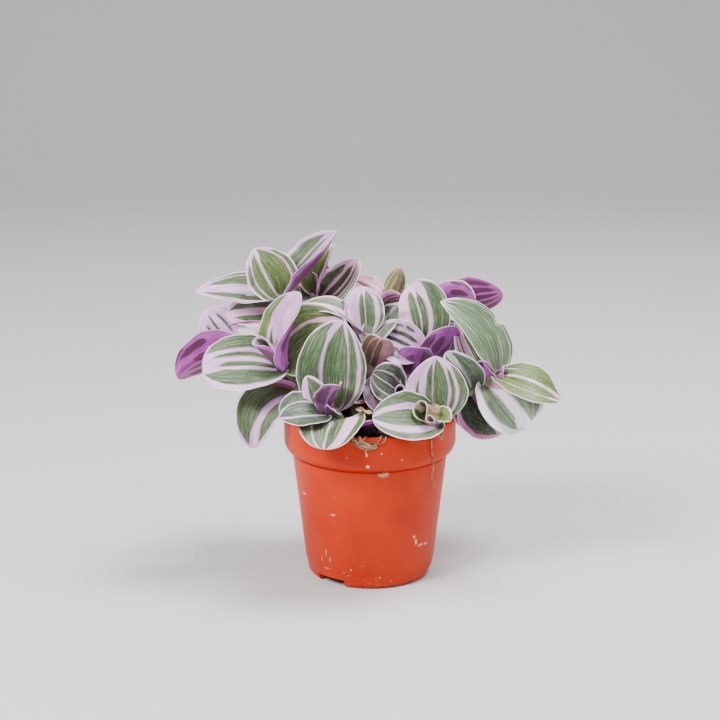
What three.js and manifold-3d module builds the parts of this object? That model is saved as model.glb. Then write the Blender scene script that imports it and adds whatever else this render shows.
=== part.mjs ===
// Potted tradescantia: a round nursery pot, its potting soil and the leafy stems that stand in it.
// Millimetres, +Z up. The origin is the middle of the pot's foot, on the surface it stands on,
// and the side that faces the viewer is -Y.

import * as THREE from 'three';
import { mergeVertices } from 'three/addons/utils/BufferGeometryUtils.js';
import Module from 'manifold-3d';

const wasm = await Module();
wasm.setup();

// ---- driving dimensions --------------------------------------------------------------------

const pot = {
  height: 85.5,
  rimRadius: 45,
  rimDrop: 18.3,          // height of the broad band under the lip
  shoulderRadius: 40.8,   // body right under the band
  waistRadius: 34.0,      // body just above the foot
  waistHeight: 8.5,
  footRadius: 30.0,
  wall: 1.6,
  floorUnder: 2.4,        // the floor stands this high over the table
  floorTop: 4.2,
  footWall: 3.0,
  sides: 40,
};

const footNotches = { first: -39.5, copies: 3, width: 30, height: 4.2 };
const footReliefs = { first: 29, copies: 3, width: 42, height: 0.9 };
const drainHoles = { copies: 6, radius: 3, ring: 17 };

const soil = { top: 78, crown: 1.6, gap: 0.35, clod: 1.1 };

const stem = { radius: 2.5, nodeSwell: 0.5, sides: 6, buried: 9, holeGap: 0.6 };

const blade = {
  thickness: 0.7,
  stations: [0.13, 0.33, 0.55, 0.76, 0.92],   // along the midrib, between base and tip
  shortStations: [0.16, 0.42, 0.68, 0.89],
  across: [-1, -0.5, 0, 0.5, 1],
  narrowAcross: [-1, 0, 1],
  longOver: 34,           // a midrib over this length gets the finer row of stations
  wideOver: 19,           // and a blade over this width the finer section
  clasp: 62,              // extra cupping where the base wraps the stem, in degrees a side
};

const leafDefaults = { wide: 26, bow: 0.1, cup: [30, 5], fold: 6, point: 0.62, sway: 0, wave: 0.5 };

const rolled = { sides: 6, stations: 6 };

// Every stem is a row of points: its foot at the soil, its nodes, and its growing end.
// A leaf names the node it grows from, the place of its tip and the way its upper face looks.
// bow is the arch of its midrib and sway its bend to one side, both as shares of its length.
// cup is the half angle of its hollow at base and tip, and fold the crease along its midrib, in
// degrees. point draws the widest place towards the base, and wave is the ripple of its margin.

const stems = {
  leafy_stem_front_left: {
    path: [[-14, -15.5, 78], [-15, -17, 86], [-18, -20, 92], [-20, -26, 96]],
    leaves: [
      {
        at: 1, tip: [-23, -55, 83], face: [-0.1, -0.55, 0.8],
        wide: 34, bow: 0.2, cup: [20, 0], point: 0.42,
      },
      {
        at: 3, tip: [-45, -43, 96], face: [0.05, -0.6, 0.8],
        wide: 24, bow: 0.12, cup: [30, 10], point: 0.5,
      },
      {
        at: 2, tip: [-14, -15, 139], face: [0.05, -0.95, 0.3],
        wide: 36, bow: 0.08, cup: [20, -12], sway: 0.08,
      },
      { at: 3, tip: [-33, -27, 113], face: [0.1, -0.9, 0.3], wide: 13, bow: 0.08, cup: [50, 10] },
      { at: 3, tip: [-15, -31, 110], face: [-0.5, 0.8, 0.3], wide: 15, bow: 0.1, cup: [50, 30] },
      { at: 1, tip: [0, -32, 92], face: [0, 0.5, 0.8], wide: 12, bow: 0.1, cup: [40, 10] },
    ],
  },
  leafy_stem_left: {
    path: [[-29, -2, 78], [-35, -3, 90], [-38, -4, 99], [-44, -6, 111]],
    leaves: [
      {
        at: 2, tip: [-60, -18, 72], face: [-0.3, -0.8, 0.4],
        wide: 25, bow: 0.2, cup: [40, 15], sway: -0.16,
      },
      {
        at: 3, tip: [-86, -14, 113], face: [0, -0.75, 0.65],
        wide: 33, bow: 0.12, cup: [35, 5], point: 0.42,
      },
      {
        at: 3, tip: [-42, -6, 152], face: [-0.94, -0.34, 0.15],
        wide: 34, bow: 0.08, cup: [20, 0], fold: 50,
      },
      {
        at: 3, tip: [-13, -3, 135], face: [-0.3, -0.85, 0.4],
        wide: 38, bow: 0.15, cup: [30, 0], sway: 0.08,
      },
      { at: 3, tip: [-60, -9, 128], face: [0, -0.3, 1], wide: 7, rolled: true },
      { at: 2, tip: [-67, -5, 101], face: [0, 0.4, 0.9], wide: 16, bow: 0.15 },
    ],
  },
  leafy_stem_left_tall: {
    path: [[-22, 14, 78], [-30, 13, 100], [-38, 11, 122], [-44, 10, 138], [-46, 9, 146]],
    leaves: [
      { at: 2, tip: [-74, 0, 133], face: [0, 0.3, 0.9], wide: 18, bow: 0.1 },
      { at: 2, tip: [-62, 30, 118], face: [-0.1, 0.3, 0.9], wide: 22, bow: 0.12 },
      { at: 3, tip: [-74, 5, 140], face: [0, -0.8, 0.5], wide: 17, bow: 0.1 },
      { at: 4, tip: [-91, 8, 149], face: [0, -0.3, 1], wide: 24, bow: 0.06, cup: [35, 10] },
      { at: 4, tip: [-60, 12, 171], face: [0.1, -0.85, 0.5], wide: 28, bow: 0.12, cup: [30, 0] },
      {
        at: 4, tip: [-17, 17, 179], face: [-0.7, -0.45, 0.5],
        wide: 27, bow: -0.06, cup: [10, 0], fold: 50,
      },
    ],
  },
  leafy_stem_top: {
    path: [[-6, 16, 78], [-14, 18, 100], [-22, 21, 122], [-28, 23, 138], [-30, 23, 144]],
    leaves: [
      { at: 4, tip: [-20, 31, 170], face: [-0.6, -0.5, 0.3], wide: 22, fold: 45 },
      { at: 2, tip: [-48, 38, 131], face: [-0.1, 0.1, 1], wide: 20, bow: 0.12 },
      {
        at: 3, tip: [-6, 22, 164], face: [-0.6, -0.6, 0.4],
        wide: 26, bow: -0.06, fold: 38, sway: -0.1,
      },
    ],
  },
  leafy_stem_middle: {
    path: [[0, -2, 78], [1, -4, 95], [0, -5, 110], [-1, 2, 122], [-2, 5, 127]],
    leaves: [
      { at: 2, tip: [6, -12, 129], face: [0.2, 0.9, 0.3], wide: 21, cup: [60, 50] },
      { at: 4, tip: [-27, 8, 141], face: [0, -0.3, 0.9], wide: 14, bow: 0.16 },
      { at: 4, tip: [-4, 12, 151], face: [0, -0.9, 0.4], wide: 22, bow: 0.1 },
      { at: 1, tip: [-24, -7, 101], face: [0, 0, 1], wide: 19, bow: 0.12 },
      { at: 3, tip: [14, -4, 143], face: [-0.3, -0.5, 0.8], wide: 14 },
    ],
  },
  leafy_stem_middle_back: {
    path: [[4, 14, 78], [6, 15, 100], [7, 15, 125], [7, 15, 142]],
    leaves: [
      { at: 3, tip: [16, 12, 161], face: [0, -0.9, 0.3], wide: 10, rolled: true },
      { at: 3, tip: [-12, 29, 152], face: [0, -0.2, 1], wide: 16 },
      { at: 3, tip: [22, 18, 148], face: [0, -0.2, 1], wide: 14 },
      { at: 1, tip: [-13, 3, 106], face: [0, 0, 1], wide: 17, bow: 0.12 },
      { at: 2, tip: [-6, 42, 134], face: [0, 0.1, 1], wide: 22, bow: 0.12 },
    ],
  },
  leafy_stem_right_middle: {
    path: [[14, 4, 78], [20, 1, 95], [26, -2, 110], [28, 0, 118], [28, 3, 123]],
    leaves: [
      {
        at: 4, tip: [21, 9, 153], face: [-0.05, -0.9, 0.35],
        wide: 33, bow: 0.12, cup: [30, 20], sway: -0.04,
      },
      { at: 3, tip: [4, 12, 133], face: [-0.2, -0.8, 0.5], wide: 21, bow: 0.1 },
      { at: 2, tip: [40, -9, 122], face: [-0.3, 0.9, 0.3], wide: 29, cup: [35, 25], sway: -0.14 },
      { at: 2, tip: [36, -12, 115], face: [-0.3, 0.9, 0.3], wide: 20, cup: [50, 40] },
    ],
  },
  leafy_stem_right: {
    path: [[33, -2, 78], [40, -2, 90], [52, -1, 98], [60, -2, 103], [66, -3, 107]],
    leaves: [
      { at: 2, tip: [45, 18, 123], face: [0.2, -0.9, 0.2], wide: 18 },
      { at: 2, tip: [69, -8, 77], face: [0.1, -0.9, 0.3], wide: 20, bow: 0.15 },
      {
        at: 4, tip: [36, -2, 146], face: [0.35, -0.8, 0.5],
        wide: 29, bow: 0.12, fold: 10, sway: -0.04, point: 0.78,
      },
      { at: 4, tip: [98, -16, 97], face: [0.1, -0.6, 0.8], wide: 19, bow: 0.12 },
      { at: 3, tip: [81, -18, 83], face: [0.1, -0.7, 0.7], wide: 34, cup: [70, 40], bow: 0.1 },
      { at: 4, tip: [71, -8, 114], face: [0, -0.3, 1], wide: 4, rolled: true },
      { at: 3, tip: [44, 5, 133], face: [0.2, -0.9, 0.2], wide: 17 },
    ],
  },
  leafy_stem_front_right: {
    path: [[20, -15, 78], [27, -19, 85], [34, -24, 91], [33, -28, 93]],
    leaves: [
      { at: 2, tip: [33, -21, 122], face: [0, -0.95, 0.3], wide: 33, bow: 0.08, cup: [25, 0] },
      { at: 2, tip: [1, -44, 96], face: [0, -0.75, 0.65], wide: 29, bow: 0.12, sway: 0.08, point: 0.5 },
      { at: 3, tip: [28, -38, 93], face: [0, 0, 1], wide: 14, rolled: true },
    ],
  },
  leafy_stem_front_middle: {
    path: [[6, -14, 78], [10, -14, 90], [14, -13, 97], [16, -12, 100]],
    leaves: [
      { at: 3, tip: [1, -18, 112], face: [-0.1, -0.8, 0.55], wide: 20, point: 0.45 },
      { at: 3, tip: [15, -21, 105], face: [0, 0, 1], wide: 5, rolled: true },
      { at: 2, tip: [-2, -12, 101], face: [-0.2, -0.7, 0.5], wide: 14 },
    ],
  },
  leafy_stem_far_left: {
    path: [[-31, 10, 78], [-42, 10, 92], [-55, 10, 106], [-66, 10, 115], [-70, 10, 119]],
    leaves: [
      { at: 3, tip: [-100, 4, 104], face: [0, 0.85, 0.5], wide: 26, bow: 0.15, cup: [30, 20] },
      { at: 4, tip: [-90, 9, 131], face: [0, -0.85, 0.5], wide: 24, bow: 0.1 },
    ],
  },
  leafy_stem_right_back: {
    path: [[20, 20, 78], [24, 22, 100], [29, 25, 122], [33, 27, 138], [34, 27, 142]],
    leaves: [
      { at: 4, tip: [70, 26, 144], face: [0.1, 0.7, 0.65], wide: 25, bow: 0.1, sway: 0.1 },
      { at: 4, tip: [57, 18, 138], face: [0.3, 0.5, 0.8], wide: 16, bow: 0.2 },
      { at: 3, tip: [30, 52, 128], face: [0, 0.4, 0.9], wide: 26, bow: 0.15 },
      { at: 2, tip: [12, 44, 130], face: [0, 0.4, 0.9], wide: 20, bow: 0.15 },
      { at: 1, tip: [40, 50, 92], face: [0, 0.3, 0.9], wide: 22, bow: 0.15 },
    ],
  },
  leafy_stem_back_left: {
    path: [[-16, 27, 78], [-22, 32, 92], [-28, 36, 104], [-31, 38, 110]],
    leaves: [
      { at: 3, tip: [-68, 42.5, 110], face: [0, 0.5, 0.9], wide: 28, bow: 0.15 },
      { at: 3, tip: [-28, 52, 138], face: [0, -0.8, 0.5], wide: 26, bow: 0.1 },
      { at: 2, tip: [-44, 49, 80], face: [-0.3, 0.8, 0.4], wide: 26, bow: 0.15 },
      { at: 3, tip: [-10, 46, 122], face: [0, 0.2, 1], wide: 22, bow: 0.12 },
    ],
  },
  leafy_stem_back: {
    path: [[4, 32, 78], [4, 36, 92], [3, 38, 104], [2, 39, 110]],
    leaves: [
      { at: 2, tip: [-16, 49.5, 82], face: [-0.3, 0.8, 0.4], wide: 26, bow: 0.15 },
      { at: 3, tip: [22, 48.5, 92], face: [0.3, 0.8, 0.4], wide: 26, bow: 0.15 },
      { at: 3, tip: [4, 53, 130], face: [0, -0.7, 0.6], wide: 24, bow: 0.1 },
      { at: 1, tip: [27, 49, 76], face: [0.2, 0.7, 0.6], wide: 24, bow: 0.15 },
    ],
  },
  leafy_stem_back_right: {
    path: [[31, 12, 78], [40, 17, 92], [48, 22, 102], [54, 25, 108]],
    leaves: [
      { at: 2, tip: [88, 33, 88], face: [0.2, 0.4, 0.9], wide: 28, bow: 0.15 },
      { at: 3, tip: [66, 51, 108], face: [0.2, 0.8, 0.7], wide: 26, bow: 0.15 },
      { at: 2, tip: [72, 36, 78], face: [0.6, 0.6, 0.4], wide: 24, bow: 0.2 },
      { at: 3, tip: [54, 38, 133], face: [0.3, -0.8, 0.4], wide: 22, bow: 0.1 },
    ],
  },
};

// ---- solids --------------------------------------------------------------------------------

const radians = THREE.MathUtils.degToRad;

function toSolid(geometry) {
  const bare = geometry.index ? geometry.toNonIndexed() : geometry.clone();
  for (const name of Object.keys(bare.attributes)) {
    if (name !== 'position') bare.deleteAttribute(name);
  }
  const merged = mergeVertices(bare, 1e-4);
  return new wasm.Manifold(new wasm.Mesh({
    numProp: 3,
    vertProperties: new Float32Array(merged.attributes.position.array),
    triVerts: new Uint32Array(merged.index.array),
  }));
}

function toGeometry(solid) {
  const mesh = solid.getMesh();
  const geometry = new THREE.BufferGeometry();
  geometry.setAttribute('position', new THREE.BufferAttribute(mesh.vertProperties, 3));
  geometry.setIndex(new THREE.BufferAttribute(mesh.triVerts, 1));
  const faceted = geometry.toNonIndexed();
  faceted.computeVertexNormals();
  return faceted;
}

// Joins solids into one body. Only its outer skin is kept, so a pocket closed off by the
// joining is filled.
function fuse(solids) {
  const skins = solids.reduce((whole, next) => whole.add(next)).decompose();
  return skins.reduce((largest, next) => (next.volume() > largest.volume() ? next : largest));
}

// A closed skin over rows of points: each row is a ring, or a single point at a closed end.
// mirrored(k) turns the diagonal in the k-th strip, so that two facing strips can match.
function skin(rows, mirrored = () => false) {
  const starts = [];
  rows.reduce((start, row) => {
    starts.push(start);
    return start + row.length;
  }, 0);
  const triangles = [];
  for (let i = 0; i + 1 < rows.length; i += 1) {
    const count = Math.max(rows[i].length, rows[i + 1].length);
    const near = (k) => starts[i] + (k % rows[i].length);
    const far = (k) => starts[i + 1] + (k % rows[i + 1].length);
    for (let k = 0; k < count; k += 1) {
      const turned = mirrored(k) ? 0 : 1;
      if (rows[i].length > 1) triangles.push(near(k), near(k + 1), far(k + turned));
      if (rows[i + 1].length > 1) triangles.push(near(k + 1 - turned), far(k + 1), far(k));
    }
  }
  const geometry = new THREE.BufferGeometry();
  geometry.setFromPoints(rows.flat());
  geometry.setIndex(triangles);
  return geometry;
}

function lathe(outline, sides) {
  return new THREE.LatheGeometry(outline.map(([r, z]) => new THREE.Vector2(r, z)), sides)
    .rotateX(Math.PI / 2);
}

// ---- pot -----------------------------------------------------------------------------------

function potOutline() {
  const { height, rimRadius, rimDrop, shoulderRadius, waistRadius, waistHeight } = pot;
  const { footRadius, wall, floorUnder, floorTop, footWall } = pot;
  const bandFoot = height - rimDrop;
  return [
    [0, floorUnder],
    [footRadius - footWall - 0.4, floorUnder],
    [footRadius - footWall, 0],
    [footRadius, 0],
    [footRadius + 1.8, 0.9],
    [footRadius + 3.0, 3.4],
    [waistRadius - 0.7, waistHeight - 1],
    [waistRadius, waistHeight],
    [shoulderRadius, bandFoot],
    [rimRadius - 2.6, bandFoot + 0.4],
    [rimRadius - 1.0, bandFoot + 1.9],
    [rimRadius, bandFoot + 5],
    [rimRadius, height - 1],
    [rimRadius - 0.5, height],
    [rimRadius - wall, height],
    [rimRadius - wall - 0.5, height - 0.8],
    [rimRadius - wall - 0.4, bandFoot + 6],
    [shoulderRadius - wall, bandFoot + 0.5],
    [waistRadius - wall, waistHeight],
    [footRadius + 0.6, floorTop],
    [0, floorTop],
  ];
}

// A wedge of the foot, from inside the foot's wall to past its outside.
function footCut({ width, height }, angle) {
  const inner = pot.footRadius - pot.footWall - 2;
  const outer = pot.footRadius + 8;
  const shape = new THREE.Shape();
  const half = radians(width / 2);
  const middle = radians(angle - 90);
  shape.absarc(0, 0, outer, middle - half, middle + half, false);
  shape.absarc(0, 0, inner, middle + half, middle - half, true);
  const depth = height + 1;
  const cut = new THREE.ExtrudeGeometry(shape, { depth, bevelEnabled: false, curveSegments: 3 });
  return toSolid(cut.translate(0, 0, -1));
}

function drainHole(angle) {
  const hole = new THREE.CylinderGeometry(drainHoles.radius, drainHoles.radius, 8, 8);
  const turn = radians(angle);
  hole.rotateX(Math.PI / 2);
  hole.translate(drainHoles.ring * Math.cos(turn), drainHoles.ring * Math.sin(turn), pot.floorTop - 1);
  return toSolid(hole);
}

function makePot() {
  let body = toSolid(lathe(potOutline(), pot.sides));
  for (const cut of [footNotches, footReliefs]) {
    for (let i = 0; i < cut.copies; i += 1) {
      body = body.subtract(footCut(cut, cut.first + (i * 360) / cut.copies));
    }
  }
  for (let i = 0; i < drainHoles.copies; i += 1) {
    body = body.subtract(drainHole((i * 360) / drainHoles.copies));
  }
  return body;
}

// ---- soil ----------------------------------------------------------------------------------

// A fixed bumpy height, the same on every run.
function clodHeight(x, y) {
  return Math.sin(x * 0.55 + 1.3) * Math.cos(y * 0.48) + 0.6 * Math.sin(x * 0.21 - y * 0.37 + 2);
}

function makeSoil() {
  const { top, crown, gap, clod } = soil;
  const { rimRadius, shoulderRadius, waistRadius, waistHeight, wall, height, rimDrop } = pot;
  const bandFoot = height - rimDrop;
  const edge = rimRadius - wall - 0.5 - gap - 1.2;
  const rings = [0, 0.3, 0.6, 0.85, 1];
  const outline = rings.map((share) => [edge * share, top + crown * (1 - share * share)]).reverse();
  const wallLine = [
    [0, pot.floorTop + gap],
    [pot.footRadius - 1, pot.floorTop + gap],
    [waistRadius - wall - gap, waistHeight + 1],
    [shoulderRadius - wall - gap, bandFoot],
    [edge, bandFoot + 7],
  ];
  const body = lathe([...wallLine, ...outline], 28);
  const places = body.attributes.position;
  for (let i = 0; i < places.count; i += 1) {
    const [x, y, z] = [places.getX(i), places.getY(i), places.getZ(i)];
    const inside = 1 - Math.hypot(x, y) / edge;
    if (z > top && inside > 0.05) places.setZ(i, z + clod * clodHeight(x, y) * Math.min(1, inside * 4));
  }
  return Object.values(stems).reduce((rest, one) => rest.subtract(stemHole(one.path)), toSolid(body));
}

// ---- stems and leaves ----------------------------------------------------------------------

const vector = (place) => new THREE.Vector3(...place);

// The buried end goes on straight down from the foot of the path.
function stemPoints(path) {
  const foot = vector(path[0]);
  return [foot.clone().setZ(foot.z - stem.buried), ...path.map(vector)];
}

// A ring of points round a place on a path, square to the way the path runs.
function ring(centre, along, radius, sides) {
  const side = new THREE.Vector3(1, 0, 0).addScaledVector(along, -along.x).normalize();
  const up = new THREE.Vector3().crossVectors(along, side);
  return Array.from({ length: sides }, (_, k) => {
    const angle = (2 * Math.PI * k) / sides;
    return centre.clone()
      .addScaledVector(side, radius * Math.cos(angle))
      .addScaledVector(up, radius * Math.sin(angle));
  });
}

// A straight rod up to the soil, then a curve through the nodes, swollen at each of them.
function makeStem(path) {
  const [bottom, ...nodes] = stemPoints(path);
  const curve = new THREE.CatmullRomCurve3(nodes, false, 'centripetal');
  const spans = (nodes.length - 1) * 2;
  const rows = [[bottom], ring(bottom, new THREE.Vector3(0, 0, 1), stem.radius, stem.sides)];
  for (let i = 0; i <= spans; i += 1) {
    const swell = i > 0 && i % 2 === 0 ? stem.nodeSwell : 0;
    const taper = i === spans ? 0.6 : 1;
    const along = i === 0 ? new THREE.Vector3(0, 0, 1) : curve.getTangent(i / spans);
    rows.push(ring(curve.getPoint(i / spans), along, (stem.radius + swell) * taper, stem.sides));
  }
  rows.push([nodes.at(-1).clone().addScaledVector(curve.getTangent(1), 1.5)]);
  return toSolid(skin(rows));
}

function stemHole(path) {
  const radius = stem.radius + stem.holeGap;
  const long = stem.buried + stem.holeGap + 8;
  const hole = new THREE.CylinderGeometry(radius, radius, long, 8);
  const [x, y, z] = path[0];
  hole.rotateX(Math.PI / 2).translate(x, y, z - stem.buried - stem.holeGap + long / 2);
  return toSolid(hole);
}

// Half width over the greatest half width: ovate, broad at the base, pointed at the tip.
function widthShare(along, point) {
  const value = (s) => Math.sqrt(s) * (1 - s) ** point;
  const widest = 0.5 / (0.5 + point);
  return value(along) / value(widest);
}

// The leaf's own frame: a quadratic curve for the midrib and the way its upper face looks.
function leafFrame(leaf, path) {
  const node = vector(path[leaf.at]);
  const tip = vector(leaf.tip);
  const way = tip.clone().sub(node).normalize();
  const face = vector(leaf.face);
  face.addScaledVector(way, -face.dot(way)).normalize();
  const base = node.addScaledVector(face, -0.5 * stem.radius);
  const long = base.distanceTo(tip);
  const side = new THREE.Vector3().crossVectors(way, face);
  const bend = base.clone().lerp(tip, 0.5)
    .addScaledVector(face, 2 * leaf.bow * long)
    .addScaledVector(side, -2 * leaf.sway * long);
  return { curve: new THREE.QuadraticBezierCurve3(base, bend, tip), face, long };
}

// One point of the blade's section and its normal, in the plane square to the midrib.
function sectionPoint(leaf, along, across) {
  const sideways = Math.sign(across);
  const cup = leaf.cup[0] + (leaf.cup[1] - leaf.cup[0]) * along + blade.clasp * (1 - along) ** 6;
  const turn = radians(cup);
  const crease = radians(leaf.fold) * Math.min(1, 4 * along);
  const half = (leaf.wide / 2) * widthShare(along, leaf.point);
  const bend = Math.abs(turn) < 1e-3 ? 1e-3 : turn;
  const angle = crease + bend * Math.abs(across);
  return {
    out: sideways * half * (Math.sin(angle) - Math.sin(crease)) / bend,
    rise: half * (Math.cos(crease) - Math.cos(angle)) / bend,
    tilt: sideways * angle,
  };
}

function bladePoint(frame, leaf, along, across, lift) {
  const { curve, face } = frame;
  const way = curve.getTangent(along);
  const up = face.clone().addScaledVector(way, -face.dot(way)).normalize();
  const side = new THREE.Vector3().crossVectors(way, up);
  const { out, rise, tilt } = sectionPoint(leaf, along, across);
  const ripple = leaf.wave * across * across * Math.sin(9 * along + 2 * Math.sign(across) + leaf.tip[0]);
  const narrow = Math.sin(Math.PI * along);
  return curve.getPoint(along)
    .addScaledVector(side, out - lift * Math.sin(tilt))
    .addScaledVector(up, rise + lift * Math.cos(tilt) + ripple * narrow);
}

// The upper and lower face hold the same grid and the same diagonals, closed by a thin edge.
// Both ends run out to a point, and the one at the base is sunk in the stem.
function makeLeaf(options, path) {
  const leaf = { ...leafDefaults, ...options };
  if (leaf.rolled) return makeRolledLeaf(leaf, path);
  const frame = leafFrame(leaf, path);
  const half = blade.thickness / 2;
  const stations = frame.long > blade.longOver ? blade.stations : blade.shortStations;
  const section = leaf.wide > blade.wideOver ? blade.across : blade.narrowAcross;
  const rings = stations.map((along) => {
    const upper = section.map((across) => bladePoint(frame, leaf, along, across, half));
    const lower = section.map((across) => bladePoint(frame, leaf, along, across, -half));
    return [...upper, ...lower.reverse()];
  });
  const ends = [0, 1].map((along) => [frame.curve.getPoint(along)]);
  return toSolid(skin([ends[0], ...rings, ends[1]], (k) => k >= section.length));
}

// A young leaf still rolled up: a slim spindle along its midrib.
function makeRolledLeaf(leaf, path) {
  const { curve } = leafFrame(leaf, path);
  const rows = [[curve.getPoint(0)]];
  for (let i = 0; i < rolled.stations; i += 1) {
    const along = i / (rolled.stations - 1);
    const radius = (leaf.wide / 2) * (0.35 + 0.65 * Math.sin(Math.PI * (0.15 + 0.83 * along)));
    rows.push(ring(curve.getPoint(along), curve.getTangent(along), radius, rolled.sides));
  }
  rows.push([curve.getPoint(1)]);
  return toSolid(skin(rows));
}

function makeLeafyStem({ path, leaves }) {
  return fuse([makeStem(path), ...leaves.map((leaf) => makeLeaf(leaf, path))]);
}

// ---- materials and the finished part -------------------------------------------------------

const finish = (color, roughness) => new THREE.MeshStandardMaterial({ color, roughness, metalness: 0 });

const potPlastic = finish(0xd5522c, 0.42);
const pottingSoil = finish(0x2a211b, 0.95);
const stripedLeaf = finish(0x8fa88a, 0.5);

function named(name, solid, material) {
  const mesh = new THREE.Mesh(toGeometry(solid), material);
  mesh.name = name;
  return mesh;
}

const plant = new THREE.Group();
plant.add(named('pot', makePot(), potPlastic));
plant.add(named('soil', makeSoil(), pottingSoil));
for (const [name, one] of Object.entries(stems)) {
  plant.add(named(name, makeLeafyStem(one), stripedLeaf));
}

export default plant;
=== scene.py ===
# Potted tradescantia: the looks of the pot, its soil and the striped leaves, made in Blender 4.5.
# Everything is in metres in the model's own frame, and the tables below are in millimetres.

import math
import random

import bpy
import bmesh
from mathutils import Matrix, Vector


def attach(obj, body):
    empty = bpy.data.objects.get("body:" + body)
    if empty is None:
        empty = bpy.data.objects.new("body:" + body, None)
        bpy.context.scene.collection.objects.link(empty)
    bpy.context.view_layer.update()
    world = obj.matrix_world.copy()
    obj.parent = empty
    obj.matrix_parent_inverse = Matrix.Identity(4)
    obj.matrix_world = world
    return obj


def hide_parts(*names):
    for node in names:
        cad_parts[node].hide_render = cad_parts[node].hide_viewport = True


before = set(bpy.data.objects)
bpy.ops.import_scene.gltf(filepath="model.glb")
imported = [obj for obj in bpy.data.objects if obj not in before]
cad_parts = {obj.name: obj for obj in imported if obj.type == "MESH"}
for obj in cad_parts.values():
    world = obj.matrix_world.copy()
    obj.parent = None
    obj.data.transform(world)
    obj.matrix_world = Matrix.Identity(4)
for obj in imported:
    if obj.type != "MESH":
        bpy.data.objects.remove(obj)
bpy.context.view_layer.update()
mm = 0.001
print("frame loaded:", len(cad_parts), "nodes")


# Small helpers for nodes

class Wire:
    # A socket that can be reckoned with. Each sum adds a math node to its tree.
    def __init__(self, tree, socket):
        self.tree = tree
        self.socket = socket

    def __add__(self, other):
        return sums(self.tree, "ADD", self, other)

    def __sub__(self, other):
        return sums(self.tree, "SUBTRACT", self, other)

    def __rsub__(self, other):
        return sums(self.tree, "SUBTRACT", other, self)

    def __mul__(self, other):
        return sums(self.tree, "MULTIPLY", self, other)

    def __truediv__(self, other):
        return sums(self.tree, "DIVIDE", self, other)

    def __rtruediv__(self, other):
        return sums(self.tree, "DIVIDE", other, self)

    def __pow__(self, other):
        return sums(self.tree, "POWER", self, other)

    __radd__ = __add__
    __rmul__ = __mul__


class Arrow(Wire):
    # The same for a vector
    def __add__(self, other):
        return arrows(self.tree, "ADD", self, other)

    def __sub__(self, other):
        return arrows(self.tree, "SUBTRACT", self, other)

    def __mul__(self, scale):
        return made(self.tree, "ShaderNodeVectorMath", "Vector", {0: self, "Scale": scale}, Arrow,
                    operation="SCALE")

    def dot(self, other):
        return made(self.tree, "ShaderNodeVectorMath", "Value", {0: self, 1: other}, operation="DOT_PRODUCT")

    def cross(self, other):
        return arrows(self.tree, "CROSS_PRODUCT", self, other)

    def unit(self):
        return arrows(self.tree, "NORMALIZE", self)

    def parts(self):
        node = addNode(self.tree, "ShaderNodeSeparateXYZ", {0: self})
        return [Wire(self.tree, output) for output in node.outputs]


def plug(tree, target, value):
    if isinstance(value, Wire):
        tree.links.new(value.socket, target)
    else:
        target.default_value = value


def addNode(tree, kind, inputs=None, **settings):
    # A node with its settings, and its inputs by name or number
    node = tree.nodes.new(kind)
    count = len(tree.nodes)
    node.location = (count % 14 * 190, -(count // 14) * 260)
    for label, value in settings.items():
        setattr(node, label, value)
    for label, value in (inputs or {}).items():
        plug(tree, node.inputs[label], value)
    return node


def made(tree, kind, output, inputs=None, form=Wire, **settings):
    # The same, of which one output is wanted
    return form(tree, addNode(tree, kind, inputs, **settings).outputs[output])


def sums(tree, operation, *values):
    return made(tree, "ShaderNodeMath", 0, dict(enumerate(values)), operation=operation)


def arrows(tree, operation, *values):
    return made(tree, "ShaderNodeVectorMath", "Vector", dict(enumerate(values)), Arrow, operation=operation)


def total(wires):
    return sum(wires[1:], wires[0])


def clampTo(wire, low=0.0, high=1.0):
    return sums(wire.tree, "MAXIMUM", sums(wire.tree, "MINIMUM", wire, high), low)


def smoothStep(wire, low, high):
    # 0 at low, 1 at high, eased in between
    return made(wire.tree, "ShaderNodeMapRange", "Result", {"Value": wire, "From Min": low, "From Max": high},
                interpolation_type="SMOOTHSTEP")


def combine(tree, *parts):
    return made(tree, "ShaderNodeCombineXYZ", 0, dict(enumerate(parts)), Arrow)


def newTree(name, kind, inputs, outputs):
    # An empty node group, with its inputs by name and the node that takes its outputs
    tree = bpy.data.node_groups.new(name, kind)
    for direction, sockets in (("INPUT", inputs), ("OUTPUT", outputs)):
        for label, socketType, value in sockets:
            socket = tree.interface.new_socket(label, in_out=direction, socket_type="NodeSocket" + socketType)
            if value is not None:
                socket.default_value = value
    start = addNode(tree, "NodeGroupInput")
    given = {socket.name: Wire(tree, socket) for socket in start.outputs}
    return tree, given, addNode(tree, "NodeGroupOutput")


def geometryTree(name, *inputs):
    shape = ("Geometry", "Geometry", None)
    inputs = [shape, *inputs, ("Finish", "Material", None)]
    tree, given, end = newTree(name, "GeometryNodeTree", inputs, [shape])
    tree.is_modifier = True
    return tree, given, end


def endTree(tree, geometry, given, end):
    # Every tree for shapes ends in these two nodes
    real = made(tree, "GeometryNodeRealizeInstances", 0, {"Geometry": geometry})
    finish = made(tree, "GeometryNodeSetMaterial", 0, {"Geometry": real, "Material": given["Finish"]})
    plug(tree, end.inputs["Geometry"], finish)
    return tree


def joined(tree, *geometries):
    node = addNode(tree, "GeometryNodeJoinGeometry")
    for geometry in geometries:
        plug(tree, node.inputs["Geometry"], geometry)
    return Wire(tree, node.outputs["Geometry"])


def positionHere(tree):
    return made(tree, "GeometryNodeInputPosition", "Position", form=Arrow)


def smoothFaces(tree, geometry):
    return made(tree, "GeometryNodeSetShadeSmooth", "Geometry", {"Geometry": geometry})


def namedField(tree, name, kind="FLOAT_VECTOR"):
    form = Arrow if kind == "FLOAT_VECTOR" else Wire
    return made(tree, "GeometryNodeInputNamedAttribute", "Attribute", {"Name": name}, form, data_type=kind)


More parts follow.
